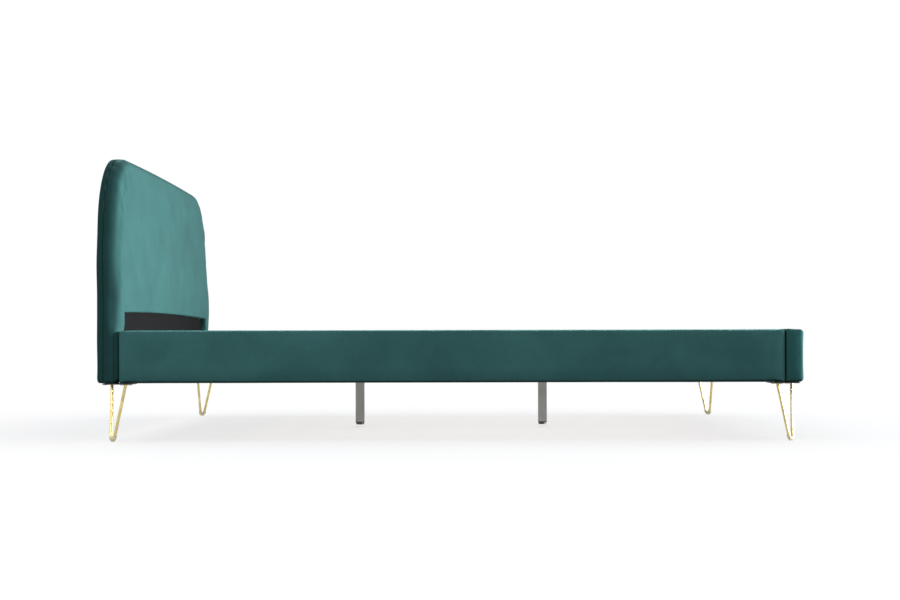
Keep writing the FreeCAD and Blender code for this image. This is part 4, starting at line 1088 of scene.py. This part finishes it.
dress_cad_nodes()
make_headboard_front()
make_headboard_back()
make_lower_panel()
for side_name, side in SIDES.items():
    make_side_rail(side_name, side)
    low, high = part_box(f"side_rail_cover_{side_name}")
    face = low[1] if side > 0 else high[1]
    make_lining(f"side_lining_{side_name}", f"side_rail_lining_{side_name}", 1, face, -side)
make_foot_rail()
make_lining("foot_lining", "foot_rail_lining", 0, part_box("foot_rail_cover")[0][0], -1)
for end_name in ENDS:
    for side_name in SIDES:
        place = f"{end_name}_{side_name}"
        for number, top in enumerate(rod_tops(f"hairpin_leg_{place}")):
            make_weld_bead(f"weld_bead_{place}_{number + 1}", top, len(place) + number)
        make_shoe(place)


# --------------------------------------------------
# Floor, light and camera
# --------------------------------------------------

FLOOR_REACH = 40.0
FLOOR_GLOW = 0.57
IMAGE_WIDTH = 900


def make_floor():
    """Pale floor with a weak glow of its own, so that it is white where only the world lights it."""
    mesh = bpy.data.meshes.new("floor")
    reach = FLOOR_REACH
    corners = [(-reach, -reach, 0), (reach, -reach, 0), (reach, reach, 0), (-reach, reach, 0)]
    mesh.from_pydata(corners, [], [(0, 1, 2, 3)])
    floor = bpy.data.objects.new("floor", mesh)
    bpy.context.scene.collection.objects.link(floor)
    paint = Surface("studio_floor", grey(0.45), 0.9, Specular_IOR_Level=0.0)
    paint.put("Base Color", paint.ramp(paint.noise(2, 2), (0.3, (0.455, 0.455, 0.45)),
                                       (0.7, (0.465, 0.465, 0.46))))
    paint.put("Emission Color", (0.97, 0.975, 1.0))
    paint.put("Emission Strength", FLOOR_GLOW)
    mesh.materials.append(paint.material)


def make_light(name, location, target, width, height, power, spread=180):
    """Soft area lamp aimed at a point; spread is in degrees."""
    data = bpy.data.lights.new(name, "AREA")
    data.shape = "RECTANGLE"
    data.size = width
    data.size_y = height
    data.energy = power
    data.spread = math.radians(spread)
    light = bpy.data.objects.new(name, data)
    light.location = location
    light.rotation_euler = (Vector(target) - Vector(location)).to_track_quat("-Z", "Y").to_euler()
    bpy.context.scene.collection.objects.link(light)
    # The lamps leave out the floor, which keeps only the soft shade that the surroundings give it.
    lit = bpy.data.collections.new(f"lit_by_{name}")
    for item in bpy.context.scene.objects:
        if item.type == "MESH" and item.name != "floor":
            lit.objects.link(item)
    light.light_linking.receiver_collection = lit


def make_world():
    """White surroundings."""
    world = bpy.data.worlds.new("studio")
    world.use_nodes = True
    background = world.node_tree.nodes["Background"]
    background.inputs["Color"].default_value = (1, 1, 1, 1)
    background.inputs["Strength"].default_value = 1.0
    bpy.context.scene.world = world


def make_camera():
    """Level camera at rail height, off the right side of the bed."""
    data = bpy.data.cameras.new("camera")
    data.sensor_width = 36
    data.lens = 58.66
    data.shift_x = -15 / IMAGE_WIDTH
    data.shift_y = 39 / IMAGE_WIDTH
    data.clip_end = 200
    camera = bpy.data.objects.new("camera", data)
    camera.location = (0.046, -5.224, 0.311)
    camera.rotation_euler = (math.radians(90), math.radians(0.13), 0)
    bpy.context.scene.collection.objects.link(camera)
    bpy.context.scene.camera = camera


bpy.context.scene.view_settings.view_transform = "Standard"
make_floor()
make_world()
make_light("key", (6.5, -0.5, 1.1), (-1.0, -0.6, 0.5), width=1.6, height=0.9, power=95, spread=40)
make_light("overhead", (0, 0, 4.0), (0, 0, 0), width=4.0, height=3.0, power=6)
make_light("fill", (-2.6, -3.4, 1.9), (-0.9, -0.8, 0.4), width=1.6, height=1.2, power=31, spread=110)
make_camera()
